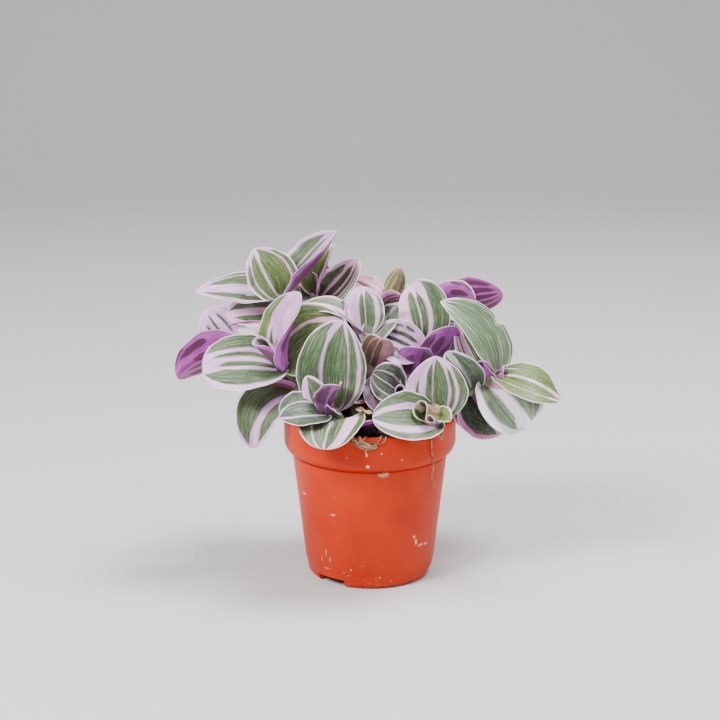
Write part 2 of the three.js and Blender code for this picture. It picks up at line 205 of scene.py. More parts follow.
def storeField(tree, geometry, name, value, kind="FLOAT_VECTOR"):
    return made(tree, "GeometryNodeStoreNamedAttribute", "Geometry",
                {"Geometry": geometry, "Name": name, "Value": value}, data_type=kind, domain="POINT")


# Small helpers for objects

def addObject(name, data):
    piece = bpy.data.objects.new(name, data)
    bpy.context.collection.objects.link(piece)
    return piece


def meshObject(name, spots, faces, edges=()):
    mesh = bpy.data.meshes.new(name)
    mesh.from_pydata(spots, edges, faces)
    return addObject(name, mesh)


def evaluatedMesh(piece):
    depsgraph = bpy.context.evaluated_depsgraph_get()
    return bpy.data.meshes.new_from_object(piece.evaluated_get(depsgraph), depsgraph=depsgraph)


def giveInputs(modifier, values):
    # Sets a Geometry Nodes modifier's inputs by their sockets' identifiers
    for item in modifier.node_group.interface.items_tree:
        if item.item_type == "SOCKET" and item.in_out == "INPUT" and item.name in values:
            modifier[item.identifier] = values[item.name]


def applyTree(objectBefore, tree, values, name):
    # The evaluated result of the tree as a plain mesh object
    modifier = objectBefore.modifiers.new(tree.name, "NODES")
    modifier.node_group = tree
    giveInputs(modifier, values)
    mesh = evaluatedMesh(objectBefore)
    objectBefore.modifiers.remove(modifier)
    bpy.data.objects.remove(objectBefore)
    mesh.name = name
    return addObject(name, mesh)


def pointObject(name, points, edges=(), attributes=None):
    # Bare points, with one value of each attribute for every point
    piece = meshObject(name, [tuple(point) for point in points], [], list(edges))
    for label, (kind, values) in (attributes or {}).items():
        layer = piece.data.attributes.new(label, kind, "POINT")
        field = {"FLOAT": "value", "FLOAT_VECTOR": "vector", "FLOAT_COLOR": "color"}[kind]
        flat = values if kind == "FLOAT" else [part for value in values for part in value]
        layer.data.foreach_set(field, flat)
    return piece


def editMesh(mesh, change):
    work = bmesh.new()
    work.from_mesh(mesh)
    change(work)
    work.to_mesh(mesh)
    work.free()


def smoothByAngle(piece, degrees):
    # Smooth faces, with a sharp edge wherever two meet at more than this angle
    def change(work):
        for edge in work.edges:
            edge.smooth = edge.calc_face_angle(math.pi) < math.radians(degrees)
        for face in work.faces:
            face.smooth = True

    editMesh(piece.data, change)


def joinPieces(name, parts):
    # One object of several meshes, with its materials kept
    bpy.ops.object.select_all(action="DESELECT")
    for part in parts:
        part.select_set(True)
    bpy.context.view_layer.objects.active = parts[0]
    bpy.ops.object.join()
    parts[0].name = parts[0].data.name = name
    return parts[0]


# Small helpers for materials. A Mix node of colours takes its share and its two colours at these
# inputs, and gives the result at this output.
mixShare, mixFirst, mixSecond, mixResult = 0, 6, 7, 2


def newMaterial(name):
    material = bpy.data.materials.new(name)
    material.use_nodes = True
    tree = material.node_tree
    return material, tree, tree.nodes["Principled BSDF"]


def objectPoint(tree):
    return made(tree, "ShaderNodeTexCoord", "Object", form=Arrow)


def readAttribute(tree, name, part="Vector"):
    form = Wire if part in ("Fac", "Alpha") else Arrow
    return made(tree, "ShaderNodeAttribute", part, None, form, attribute_type="GEOMETRY", attribute_name=name)


def noiseAt(tree, vector, scale, detail=2.0, roughness=0.5):
    return made(tree, "ShaderNodeTexNoise", "Fac",
                {"Vector": vector, "Scale": scale, "Detail": detail, "Roughness": roughness})


def blendColor(tree, share, first, second, kind="MIX"):
    first, second = (color if isinstance(color, Wire) else (*color, 1.0) for color in (first, second))
    inputs = {mixShare: share, mixFirst: first, mixSecond: second}
    return made(tree, "ShaderNodeMix", mixResult, inputs, Arrow, data_type="RGBA", blend_type=kind,
                clamp_factor=True)


def giveSurface(tree, shader, color, roughness, height, strength, depth):
    # Colour, roughness and relief of a material, with the relief's depth in mm
    plug(tree, shader.inputs["Base Color"], color)
    plug(tree, shader.inputs["Roughness"], roughness)
    bump = {"Strength": strength, "Distance": depth * mm, "Height": height}
    plug(tree, shader.inputs["Normal"], made(tree, "ShaderNodeBump", "Normal", bump))


# The leaves' finish: a green tone and a pale one for the upper face, and a pair of the same for
# the lower face

tones = {
    "sage": (0.088, 0.150, 0.058),
    "deep": (0.050, 0.092, 0.045),
    "lime": (0.140, 0.215, 0.040),
    "olive": (0.072, 0.100, 0.034),
    "silver": (0.145, 0.225, 0.115),
    "moss": (0.115, 0.172, 0.036),
    "dull": (0.120, 0.150, 0.095),
    "field": (0.098, 0.142, 0.052),
    # painted light: this green is far lighter than the others, so that the low right leaf looks lit though it
    # lies in shade
    "frost": (0.300, 0.370, 0.240),
    "brown": (0.082, 0.052, 0.026),
    "bud": (0.230, 0.190, 0.060),
}
pales = {
    "lilac": (0.650, 0.330, 0.640),
    "blush": (0.780, 0.420, 0.630),
    "white": (0.800, 0.720, 0.760),
    # painted light: a near white for the low right leaf's pale panel, standing for light that the leaf above
    # keeps from it
    "bright": (0.880, 0.790, 0.860),
    "cream": (0.720, 0.580, 0.420),
    "dull": (0.300, 0.240, 0.280),
    "pearl": (0.760, 0.600, 0.720),
    "plum": (0.260, 0.100, 0.230),
    "rose": (0.620, 0.190, 0.400),
    "violet": (0.440, 0.090, 0.460),
}
unders = {
    "purple": ((0.64, 0.160, 0.62), (0.135, 0.050, 0.085)),
    # painted shade: a darkened purple for lower faces that lie in shade
    "plum": ((0.36, 0.110, 0.34), (0.110, 0.040, 0.085)),
    "royal": ((0.47, 0.110, 0.48), (0.125, 0.045, 0.075)),
    "rose": ((0.66, 0.240, 0.48), (0.160, 0.065, 0.060)),
    "young": ((0.64, 0.340, 0.36), (0.110, 0.085, 0.020)),
    "spring": ((0.56, 0.400, 0.270), (0.205, 0.220, 0.055)),
    "magenta": ((0.64, 0.150, 0.57), (0.135, 0.040, 0.075)),
}
bandCount = 5
leafTints = {
    "shade": (0.36, 0.44, 0.34), "streak": (0.46, 0.52, 0.40), "grain": (0.42, 0.50, 0.30),
    "white": (0.84, 0.78, 0.82), "margin": (0.82, 0.75, 0.79), "underShade": (0.62, 0.45, 0.66),
    "underDark": (0.55, 0.55, 0.55), "underMargin": (0.78, 0.64, 0.76),
}
# Noise along and across a leaf. The shift is how much it moves along from leaf to leaf.
leafGrains = {
    "jag": {"along": 1.6, "across": 9, "scale": 2.2, "detail": 3, "roughness": 0.65},
    "fine": {"along": 2.2, "across": 26, "detail": 4, "roughness": 0.75},
    "vein": {"along": 1.2, "across": 18, "detail": 1, "roughness": 0.4, "shift": 0},
    "ragged": {"along": 0, "across": 16, "roughness": 0.6},
    "cloud": {"along": 3, "across": 3},
    "grain": {"along": 9, "across": 30, "detail": 3, "roughness": 0.7},
    "ridge": {"along": 0.8, "across": 34, "detail": 1, "shift": 0},
}


def bandGroup():
    # One green band on a leaf: centre and half width across it, start and end along it
    tree, given, end = newTree(
        "leafBand", "ShaderNodeTree",
        [("Along", "Float", 0.5), ("Across", "Float", 0.0), ("Centre", "Float", 0.0),
         ("Half Width", "Float", 0.2), ("Start", "Float", 0.0), ("End", "Float", 0.9),
         ("Edge", "Float", 0.03)],
        [("Mask", "Float", None)],
    )
    along, half, edge = given["Along"], given["Half Width"], given["Edge"]
    growing = clampTo((along - given["Start"]) / 0.09 + 0.02)
    ending = clampTo((given["End"] - along) / (0.05 + half * 0.55))
    reach = half * ((growing * ending) ** 0.5)
    distance = sums(tree, "ABSOLUTE", given["Across"] - given["Centre"])
    mask = smoothStep(reach - distance, edge * -1.0, edge)
    present = smoothStep(half, 0.01, 0.03)
    plug(tree, end.inputs["Mask"], mask * present)
    return tree


def greenMask(tree, along, across):
    # Where any of the leaf's bands is
    group = bandGroup()
    green = 0.0
    for count in range(bandCount):
        centre, half, first = readAttribute(tree, f"band{count}", "Color").parts()
        last = readAttribute(tree, f"band{count}", "Alpha")
        mask = made(tree, "ShaderNodeGroup", "Mask", {
            "Along": along, "Across": across, "Centre": centre, "Half Width": half, "Start": first,
            "End": last, "Edge": 0.035}, node_tree=group)
        green = sums(tree, "MAXIMUM", green, mask)
    return green


def leafMaterial():
    material, tree, shader = newMaterial("stripedLeaf")
    along, across, side = readAttribute(tree, "leafPlace").parts()
    phase = readAttribute(tree, "leafPhase").parts()[0]

    def grainOf(name):
        look = {"scale": 1, "detail": 2, "roughness": 0.5, "shift": 1, **leafGrains[name]}
        spot = combine(tree, along * look["along"] + phase * look["shift"], across * look["across"], phase)
        return noiseAt(tree, spot, look["scale"], look["detail"], look["roughness"])

    def tinted(share, first, name, kind="MIX"):
        return blendColor(tree, share, first, leafTints[name], kind)

    jag, fine, vein, ragged, cloud, grain, ridge = (grainOf(name) for name in leafGrains)
    green = greenMask(tree, along + (ragged - 0.5) * 0.16, across + (jag - 0.5) * 0.13)
    # fine pale streaks run through the green, and green ones through the pale
    green = clampTo(green - smoothStep(fine, 0.56, 0.7) * 0.3 * green)
    green = clampTo(green + smoothStep(vein, 0.58, 0.75) * 0.22 * (1.0 - green))
    inward = readAttribute(tree, "leafInward", "Fac") / mm
    edge = 1.0 - smoothStep(inward + (fine - 0.5) * 0.5, 0.30, 0.54)
    middle = smoothStep(0.055 - sums(tree, "ABSOLUTE", across), 0.0, 0.05)
    midrib = middle * smoothStep(0.95 - along, 0.0, 0.2)

    tone, pale, underLight, underTone = (readAttribute(tree, name, "Color") for name in
                                         ("leafTone", "leafPale", "leafUnder", "leafUnderTone"))
    toneDark = tinted(1.0, tone, "shade", "MULTIPLY")
    toneHere = blendColor(tree, smoothStep(fine * 0.75 + cloud * 0.25, 0.40, 0.56), toneDark, tone)
    toneHere = tinted(smoothStep(fine, 0.56, 0.66) * 0.5, toneHere, "streak")
    toneHere = tinted(smoothStep(grain, 0.50, 0.66) * 0.24, toneHere, "grain")
    toneHere = blendColor(tree, smoothStep(grain, 0.50, 0.36) * 0.3, toneHere, toneDark)
    # painted shade: the midrib's groove is darkened, fading out towards the tip
    toneHere = blendColor(tree, midrib * 0.45, toneHere, toneDark)
    paleHere = blendColor(tree, smoothStep(cloud, 0.38, 0.68), pale, tinted(0.45, pale, "white"))
    upper = tinted(edge * 0.85, blendColor(tree, green, paleHere, toneHere), "margin")

    underShade = tinted(1.0, underLight, "underShade", "MULTIPLY")
    underPale = blendColor(tree, smoothStep(cloud, 0.3, 0.7), underShade, underLight)
    underDark = tinted(1.0, underTone, "underDark", "MULTIPLY")
    underDark = blendColor(tree, smoothStep(fine, 0.35, 0.65), underDark, underTone)
    under = blendColor(tree, green * 0.9, underPale, underDark)
    under = tinted(edge * 0.8, under, "underMargin")
    color = blendColor(tree, smoothStep(side, -0.15, 0.15), under, upper)
    giveSurface(tree, shader, color, 0.33 + fine * 0.16, ridge + fine * 0.25 - midrib * 0.8, 0.35, 0.6)
    for label, value in (("Subsurface Weight", 0.12), ("Subsurface Radius", (0.6, 0.5, 0.4)),
                         ("Subsurface Scale", 1.5 * mm), ("Specular IOR Level", 0.5)):
        shader.inputs[label].default_value = value
    return material


def stemMaterial():
    material, tree, shader = newMaterial("stemSkin")
    along, around, node = readAttribute(tree, "stemPlace").parts()
    mottle = noiseAt(tree, objectPoint(tree), 260.0, 3.0, 0.6)
    streak = noiseAt(tree, combine(tree, along * 8.0, around * 26.0, 0.0), 1.0, 2.0, 0.6)
    color = blendColor(tree, smoothStep(streak, 0.4, 0.62), (0.145, 0.185, 0.070), (0.235, 0.270, 0.120))
    color = blendColor(tree, smoothStep(mottle, 0.5, 0.7) * 0.6, color, (0.170, 0.075, 0.080))
    color = blendColor(tree, node * 0.75, color, (0.430, 0.330, 0.310))
    giveSurface(tree, shader, color, 0.42 + mottle * 0.2, streak, 0.3, 0.4)
    return material


# What a leaf has where its row says nothing else. Bow and sway are shares of its length, and point is
# how narrow its tip gets. Cup is how far each half turns up at the base and at the tip, in degrees, as
# are fold, along the midrib, curl, at the margin, and grip, round the stem. Lean is how much more one
# half turns than the other. Wave is the margin's ripple. Bite says its place, depth and side. Roll is
# the radius of a leaf that is rolled up, and 0 for any other.
leafUsual = {"bow": 0.1, "cup": (30, 5), "fold": 6, "point": 0.62, "sway": 0, "wave": 0.7, "roll": 0,
             "lean": 0, "curl": 0, "grip": 62, "bite": (0, 0, 0), "tone": None, "pale": None,
             "under": "purple"}


def leaf(at, tip, face, wide, look="", bands=None, **more):
    # The look names the green tone, the pale one and the pair of the lower face
    names = dict(zip(("tone", "pale", "under"), look.split()))
    return {**leafUsual, "at": at, "tip": tip, "face": face, "wide": wide, "bands": bands, **names, **more}


# The plant. Each stem is a row of points: its foot at the soil, its nodes and its growing end. A leaf
# says which point it grows from, where its tip is, the way its upper face looks, its width and its
# look. Its bands are the green stripes: centre and half width across it, start and end along it.
leafyStems = {
    "leafy_stem_front_left": {
        "path": [(-14, -15.5, 78), (-15, -17, 86), (-18, -20, 92), (-21.9, -28, 94)],
        "leaves": [
        leaf(1, (-23, -55, 83), (-0.1, -0.55, 0.8), 34, "sage blush", [(0.76, 0.19, -0.3, 1.03),
             (0.29, 0.24, -0.3, 1.06), (-0.19, 0.19, -0.3, 1.06), (-0.88, 0.1, 0, 0.97)], bow=0.2,
             cup=(20, 0), point=0.42),
        leaf(3, (-45, -43, 96), (0.05, -0.6, 0.8), 24, "deep lilac", [(0.74, 0.22, -0.3, 1.04),
             (0.1, 0.36, -0.3, 1.06), (-0.66, 0.3, -0.3, 1.03)], bow=0.12, cup=(30, 10), point=0.5),
        leaf(2, (-14, -15, 139), (0.05, -0.95, 0.3), 36, "sage lilac", [(-0.68, 0.34, 0, 0.96),
             (0.1, 0.36, 0, 0.98), (0.62, 0.13, 0, 0.96), (0.93, 0.07, 0.05, 0.9)], bow=0.08, cup=(20, -12),
             sway=0.08, grip=20),
        leaf(3, (-32.5, -27, 113.1), (-0.1, -0.93, 0.3), 13.5, "sage lilac", [(0.18, 0.72, 0, 0.97)],
             bow=0.08),
        # painted shade: the dark plum of this folded leaf's lower face and its many thin dark stripes darken
        # it for the shade it lies in; the stripes are partly its own
        leaf(3, (-15.2, -36, 110.4), (-0.6, 0.75, 0.25), 20, "deep violet plum", [(-0.82, 0.07, 0, 0.8),
             (-0.55, 0.08, 0, 0.85), (-0.26, 0.09, 0, 0.85), (0.1, 0.12, 0, 0.85), (0.6, 0.25, 0, 0.85)],
             bow=0.05, cup=(30, 10), point=0.55, fold=34, grip=0),
        leaf(0, (1.8, -39, 93.5), (-0.5, 0.75, 0.25), 21, "sage white magenta", [(0.1, 0.5, 0, 0.8)],
             bow=-0.03, cup=(40, 10)),
        leaf(3, (-16.7, -37, 96.6), (0, 0.9, 0.3), 9, "olive plum plum", [(0, 0.8, 0, 0.95)]),
    ]},
    "leafy_stem_left": {"path": [(-29, -2, 78), (-35, -3, 90), (-38, -4, 99), (-44, -6, 111)], "leaves": [
        leaf(2, (-60, -18, 72), (-0.3, -0.8, 0.4), 27, "field lilac", [(0.52, 0.5, 0, 0.96),
             (-0.56, 0.26, 0, 0.93)], bow=0.2, cup=(40, 15), sway=-0.16),
        leaf(3, (-86, -14, 113), (0, -0.75, 0.65), 33, "sage lilac", [(0.8, 0.22, 0.04, 0.93),
             (0.38, 0.07, 0.05, 0.86), (0.07, 0.09, 0.04, 0.8), (-0.45, 0.31, 0, 0.97)], bow=0.12,
             cup=(35, 5), point=0.42),
        leaf(3, (-35.9, -6, 151.9), (-0.72, -0.62, 0.15), 33, "lime lilac", [(-0.84, 0.14, 0, 0.92),
             (-0.36, 0.05, 0.08, 0.38), (0.72, 0.1, 0.3, 0.85), (0.35, 0.04, 0.2, 0.5)], bow=0.08,
             cup=(105, 2), fold=16, lean=0.25, grip=30),
        leaf(3, (-13, -3, 135), (-0.3, -0.85, 0.4), 38, "moss blush", [(-0.7, 0.25, -0.2, 1.02),
             (0.3, 0.7, -0.2, 1.03)], bow=0.15, cup=(30, 0), sway=0.08),
        leaf(3, (-57.6, -17, 128.9), (0.6, 0.2, -0.6), 22, "sage lilac", [(0.3, 0.5, 0, 0.95),
             (-0.6, 0.2, 0, 0.9)], roll=3.3),
        leaf(2, (-66, -6, 96), (0, 0.4, 0.9), 20, "deep rose rose", [(0, 0.7, 0, 0.8)], bow=0.15),
        leaf(3, (-68.4, 2, 132.2), (-0.2, -0.9, 0.3), 10, "sage white", [(0.4, 0.2, 0, 0.7)]),
    ]},
    "leafy_stem_left_tall": {
        "path": [(-22, 14, 78), (-30, 13, 100), (-38, 11, 122), (-44, 10, 138), (-46, 9, 146)],
        "leaves": [
        leaf(2, (-74, 0, 133), (0, 0.3, 0.9), 18, "deep rose", [(0, 0.6, 0, 0.8)]),
        leaf(2, (-62, 30, 118), (-0.1, 0.3, 0.9), 22, bow=0.12),
        leaf(3, (-74.9, 4, 137.6), (0, -0.85, 0.45), 20, "sage blush", [(0.5, 0.26, 0, 0.93),
             (-0.38, 0.2, 0.1, 0.85)], cup=(45, 30)),
        leaf(4, (-91, 8, 149), (0, -0.55, 0.9), 25, "sage lilac", [(0.9, 0.05, 0, 0.85), (0.6, 0.2, 0, 0.84),
             (-0.42, 0.24, 0, 0.9), (-0.9, 0.04, 0, 0.7)], bow=0.06, cup=(35, 10), point=0.85),
        leaf(4, (-60, 12, 171), (0.1, -0.85, 0.5), 28, "moss lilac", [(-0.8, 0.1, 0.02, 0.78),
             (-0.44, 0.2, 0, 0.92), (0.28, 0.42, 0, 0.99), (0.86, 0.08, 0.1, 0.85)], bow=0.12, cup=(30, 0),
             point=0.72),
        leaf(4, (-17, 17, 179), (-0.66, -0.55, 0.5), 31, "sage lilac", [(-0.66, 0.2, 0, 0.9),
             (-0.36, 0.06, 0, 0.86), (-0.2, 0.03, 0.1, 0.62), (-0.01, 0.13, 0, 0.9), (0.5, 0.3, 0, 0.9)],
             bow=-0.06, cup=(24, 4), fold=42, lean=0.5),
        leaf(1, (-53, 22, 103), (-0.2, 0.1, 1), 22, bow=0.15),
    ]},
    "leafy_stem_top": {
        "path": [(-6, 16, 78), (-14, 18, 100), (-22, 21, 122), (-28, 23, 138), (-30, 23, 144)],
        "leaves": [
        leaf(4, (-20, 31, 170), (-0.5, -0.75, 0.35), 23, "lime rose", [(-0.1, 0.8, 0, 0.93)], fold=25,
             curl=60),
        leaf(2, (-48, 38, 131), (-0.1, 0.1, 1), 20, bow=0.12),
        leaf(3, (-6, 22, 164), (-0.5, -0.75, 0.55), 27, "olive blush", [(-0.66, 0.18, 0, 0.85),
             (-0.24, 0.12, 0, 0.88), (0.1, 0.14, 0, 0.92), (0.44, 0.12, 0, 0.93), (0.8, 0.14, 0.03, 0.92)],
             bow=-0.06, fold=26, sway=-0.1),
        leaf(1, (4, 27, 106), (0.1, 0.2, 1), 20, bow=0.14),
        leaf(4, (-37.6, 30, 150), (-0.3, -0.9, 0.3), 20, "olive rose", [(-0.45, 0.3, 0, 0.9),
             (0.4, 0.35, 0, 0.9)]),
        leaf(3, (-25.3, 30, 160.3), (0.5, 0.8, 0.3), 17, "olive rose young", [(-0.45, 0.3, 0, 0.9),
             (0.4, 0.35, 0, 0.9)]),
    ]},
    "leafy_stem_middle": {
        "path": [(0, -2, 78), (1, -4, 95), (0, -5, 110), (-1, 2, 122), (-2, 5, 127)],
        "leaves": [
        leaf(2, (6, -12, 129), (0.2, 0.9, 0.3), 22, "brown lilac young", [(0.77, 0.2, 0, 0.95),
             (0.34, 0.17, 0, 0.95), (-0.03, 0.14, 0, 0.93)], cup=(60, 50)),
        leaf(4, (-38, 8, 140.9), (0, -0.3, 0.9), 17, "silver blush", [(-0.45, 0.3, 0, 0.9),
             (0.55, 0.3, 0, 0.9)], bow=0.2),
        leaf(4, (-4, 12, 151), (0, -0.9, 0.4), 22, "sage lilac", [(-0.12, 0.14, 0, 0.86),
             (0.3, 0.24, 0, 0.9), (0.86, 0.09, 0.05, 0.8), (-0.92, 0.06, 0, 0.5)]),
        leaf(1, (-24, -7, 101), (0, 0, 1), 19, bow=0.12),
        leaf(3, (14.6, 11, 140.8), (-0.3, -0.75, 0.5), 17, "dull dull", [(0.42, 0.42, 0, 0.97),
             (-0.5, 0.42, 0, 0.96)]),
        leaf(1, (-9, -16, 96), (0, -0.4, 0.9), 14, "deep rose"),
    ]},
    "leafy_stem_middle_back": {"path": [(4, 14, 78), (6, 15, 100), (7, 15, 125), (7, 15, 142)], "leaves": [
        leaf(3, (16.1, 11, 162), (0.5, 0.85, 0.2), 17.5, "bud cream spring", [(-0.7, 0.22, 0, 0.93),
             (-0.24, 0.16, 0, 0.9), (0.15, 0.14, 0, 0.9), (0.62, 0.22, 0, 0.9)], bow=0.05, cup=(95, 60),
             point=1),
        leaf(3, (-12, 29, 152), (0, -0.2, 1), 16, "brown rose rose", [(0, 0.2, 0, 0.8)]),
        leaf(3, (20.1, 22, 149.6), (0, -0.8, 0.5), 13, "sage"),
        leaf(1, (-13, 3, 106), (0, 0, 1), 17, bow=0.12),
        leaf(2, (-6, 42, 134), (0, 0.1, 1), 22, bow=0.12),
        leaf(3, (17.6, 6, 146.7), (0, 0.7, 0.6), 12, "brown rose rose"),
    ]},
    "leafy_stem_right_middle": {
        "path": [(14, 4, 78), (20, 1, 95), (26, -2, 110), (28, 0, 118), (28, 3, 123)],
        "leaves": [
        leaf(4, (21.3, 9, 152.9), (-0.05, -0.9, 0.35), 27, "sage blush", [(-0.38, 0.17, 0, 0.92),
             (-0.03, 0.14, 0, 0.84), (0.68, 0.38, 0, 0.94)], bow=0.12, cup=(12, 18), point=0.45, sway=-0.12,
             grip=0),
        leaf(3, (1.3, 5, 128.8), (-0.15, -0.85, 0.4), 24, "deep lilac", [(0.72, 0.08, 0.3, 0.72),
             (0.38, 0.1, 0.2, 0.8), (0.02, 0.1, 0.22, 0.78), (-0.36, 0.09, 0.3, 0.74),
             (-0.7, 0.08, 0.35, 0.7)], cup=(30, 10)),
        leaf(2, (42.5, -7, 134.3), (-0.3, 0.95, 0.15), 20, "deep violet royal", [(-0.35, 0.16, 0.3, 0.62),
             (0.2, 0.2, 0.35, 0.75), (-0.75, 0.14, 0.5, 0.85), (0.7, 0.2, 0.2, 0.7)], cup=(15, 10),
             sway=0.1),
        leaf(1, (25, -13, 124.2), (0, 0.93, 0.3), 25, "deep violet royal", [(-0.5, 0.3, 0.3, 0.9),
             (0.25, 0.2, 0.35, 0.8), (0.7, 0.2, 0.2, 0.6)], cup=(50, 40)),
        leaf(1, (37, 10, 101), (0.2, 0, 1), 20, bow=0.14),
        leaf(1, (6, 3, 101), (-0.2, -0.1, 1), 17, bow=0.14),
    ]},
    "leafy_stem_right": {
        "path": [(33, -2, 78), (40, -2, 90), (52, -1, 98), (60, -2, 103), (66, -3, 107)],
        "leaves": [
        leaf(2, (38.9, -11, 121.6), (0.15, -0.95, 0.2), 21, "deep dull", [(-0.42, 0.46, 0, 0.97),
             (0.55, 0.38, 0, 0.96)], bow=0.28),
        leaf(2, (69, -8, 77), (0.1, -0.9, 0.3), 34, "deep rose", [(-0.35, 0.3, 0, 0.9),
             (0.45, 0.36, 0, 0.93)], bow=0.15),
        leaf(4, (36, -2, 146), (0.35, -0.8, 0.5), 24, "silver pearl", [(-0.75, 0.21, 0, 0.98),
             (-0.27, 0.26, 0, 1), (0.22, 0.24, 0, 1), (0.64, 0.19, 0, 0.98), (0.92, 0.07, 0, 0.92)],
             bow=0.12, point=0.78, fold=10, sway=-0.13, curl=-40, bite=(0.46, 0.2, 1)),
        leaf(4, (98, -16, 97), (0.1, -0.6, 0.8), 25, "lime blush", [(-0.62, 0.32, 0, 0.97),
             (0.1, 0.27, 0, 0.97), (0.68, 0.27, 0, 0.95)], bow=0.2, sway=-0.1),
        # painted light: this leaf's green and pale tones are lightened to stand for light that it does not
        # get
        leaf(3, (78.6, -18, 82), (0.1, -0.75, 0.7), 42, "frost bright", [(0.29, 0.27, 0, 0.95),
             (-0.62, 0.35, 0, 0.95)], cup=(62, 30), point=0.46),
        leaf(4, (68.8, -7, 113.1), (0.7, -0.3, 0.2), 8, "lime blush", [(0, 0.3, 0, 0.8)], cup=(80, 40)),
        leaf(3, (43.8, -1, 135.5), (0, -0.95, 0.2), 19, "sage blush", [(-0.72, 0.05, 0, 0.8),
             (-0.4, 0.05, 0, 0.8), (0.3, 0.2, 0, 0.8), (0.75, 0.1, 0, 0.8)], bow=-0.04, point=0.85, fold=30,
             lean=0.6),
        leaf(2, (56.1, -9, 78.7), (0.1, -0.9, 0.3), 27, "deep rose", [(-0.4, 0.4, 0, 0.95),
             (0.5, 0.36, 0, 0.95)]),
        leaf(3, (57.3, -12, 117.1), (0.3, 0.9, 0.2), 10, "deep violet", [(0.3, 0.25, 0, 0.9)], cup=(30, 20)),
    ]},
    "leafy_stem_front_right": {
        "path": [(20, -15, 78), (27, -19, 85), (34, -24, 91), (33, -28, 93)],
        "leaves": [
        leaf(2, (33, -21, 122), (0, -0.95, 0.3), 33, "sage lilac", [(-0.63, 0.06, 0.1, 0.62),
             (-0.24, 0.1, 0, 0.88), (0.13, 0.24, 0, 0.97), (0.53, 0.08, 0, 0.82), (0.88, 0.17, 0, 0.86)],
             bow=0.08, cup=(25, 0), point=0.72),
        leaf(2, (1, -44, 96), (0, -0.75, 0.65), 29, "sage lilac", [(0.77, 0.19, -0.3, 1.04),
             (0, 0.34, -0.3, 1.04), (-0.8, 0.15, -0.3, 1.03)], bow=0.12, point=0.5, sway=0.08),
        # painted light: the lighter green and cream of this rolled leaf's inner face stand for light
        # reflected inside the roll
        leaf(3, (25.3, -39, 99.3), (0.55, 0.1, -0.8), 29, "lime cream spring", [(-0.55, 0.22, 0, 0.95),
             (0.1, 0.2, 0, 0.95), (0.7, 0.14, 0, 0.9)], lean=0.1, roll=4.6),
        leaf(3, (29.3, -42, 94.9), (0.4, 0.1, -0.8), 15, "lime cream spring", [(0, 0.5, 0, 0.9)], roll=2.1),
        leaf(3, (40.6, -35, 91.8), (-0.3, -0.5, 0.9), 13, "lime cream", [(0, 0.9, -0.3, 1.02)],
             cup=(70, 40)),
    ]},
    "leafy_stem_front_middle": {
        "path": [(6, -14, 78), (10, -14, 90), (14, -13, 97), (16, -12, 100)],
        "leaves": [
        leaf(3, (1, -18, 112), (-0.1, -0.8, 0.55), 22, "deep lilac", [(-0.76, 0.19, -0.3, 1.1),
             (-0.28, 0.23, -0.3, 1.1), (0.21, 0.2, -0.3, 1.1), (0.68, 0.21, -0.3, 1.1)], point=0.45),
        leaf(3, (15.1, -25, 105.8), (-0.6, 0.3, -0.6), 17, "sage lilac", [(0, 0.75, 0, 0.9)], roll=2.5),
        leaf(2, (-3.4, -15, 104.6), (-0.3, -0.7, 0.5), 24, "brown plum", [(0, 0.6, 0, 0.85)]),
    ]},
    "leafy_stem_far_left": {
        "path": [(-31, 10, 78), (-42, 10, 92), (-55, 10, 106), (-66, 10, 115), (-70, 10, 119)],
        "leaves": [
        leaf(3, (-100, -5, 106.7), (0, 0.88, 0.35), 28, "deep violet magenta", [(-0.62, 0.16, 0.45, 0.85),
             (-0.1, 0.13, 0.3, 0.7), (0.32, 0.12, 0.4, 0.8), (0.72, 0.14, 0.3, 0.8),
             (-0.9, 0.1, 0.75, 0.95)], bow=0.15, cup=(-20, 0), point=0.6, fold=22, sway=0.06),
        leaf(4, (-86.4, 20, 136.6), (0, -0.85, 0.5), 26, "deep lilac", [(0.3, 0.07, 0.3, 0.8),
             (-0.12, 0.07, 0.45, 0.9), (-0.45, 0.07, 0.3, 0.75)], bow=0.02),
    ]},
    "leafy_stem_right_back": {
        "path": [(20, 20, 78), (24, 22, 100), (29, 25, 122), (33, 27, 138), (34, 27, 142)],
        "leaves": [
        leaf(4, (69.9, 26, 144.9), (0.05, 0.9, 0.4), 25, "deep violet magenta", [(-0.72, 0.13, 0, 0.95),
             (-0.36, 0.12, 0.02, 0.95), (0, 0.12, 0, 0.95), (0.37, 0.13, 0, 0.93), (0.74, 0.12, 0, 0.9)],
             bow=0.05, point=0.5, sway=0.1),
        leaf(4, (55.5, 14, 142.8), (0.1, 0.85, 0.5), 17, "deep violet magenta", [(-0.5, 0.16, 0.3, 0.85),
             (0.2, 0.2, 0.35, 0.8), (0.8, 0.12, 0.4, 0.9)], bow=0.16, cup=(50, 40)),
        leaf(3, (30, 52, 128), (0, 0.4, 0.9), 26, bow=0.15),
        leaf(2, (12, 44, 130), (0, 0.4, 0.9), 20, bow=0.15),
        leaf(1, (40, 50, 92), (0, 0.3, 0.9), 22, bow=0.15),
        leaf(2, (50, 20, 127), (0.2, 0, 1), 20, bow=0.12),
        leaf(1, (0, 27, 108), (-0.1, 0.1, 1), 20, bow=0.14),
    ]},
    "leafy_stem_back_left": {
        "path": [(-16, 27, 78), (-22, 32, 92), (-28, 36, 104), (-31, 38, 110)],
        "leaves": [
        leaf(3, (-68, 42.5, 110), (0, 0.5, 0.9), 28, bow=0.15),
        leaf(3, (-28, 52, 138), (0, -0.8, 0.5), 26),
        leaf(2, (-44, 49, 80), (-0.3, 0.8, 0.4), 26, bow=0.15),
        leaf(3, (-10, 46, 122), (0, 0.2, 1), 22, bow=0.12),
        leaf(1, (-46, 26, 88), (-0.3, 0, 1), 22, bow=0.16),
    ]},
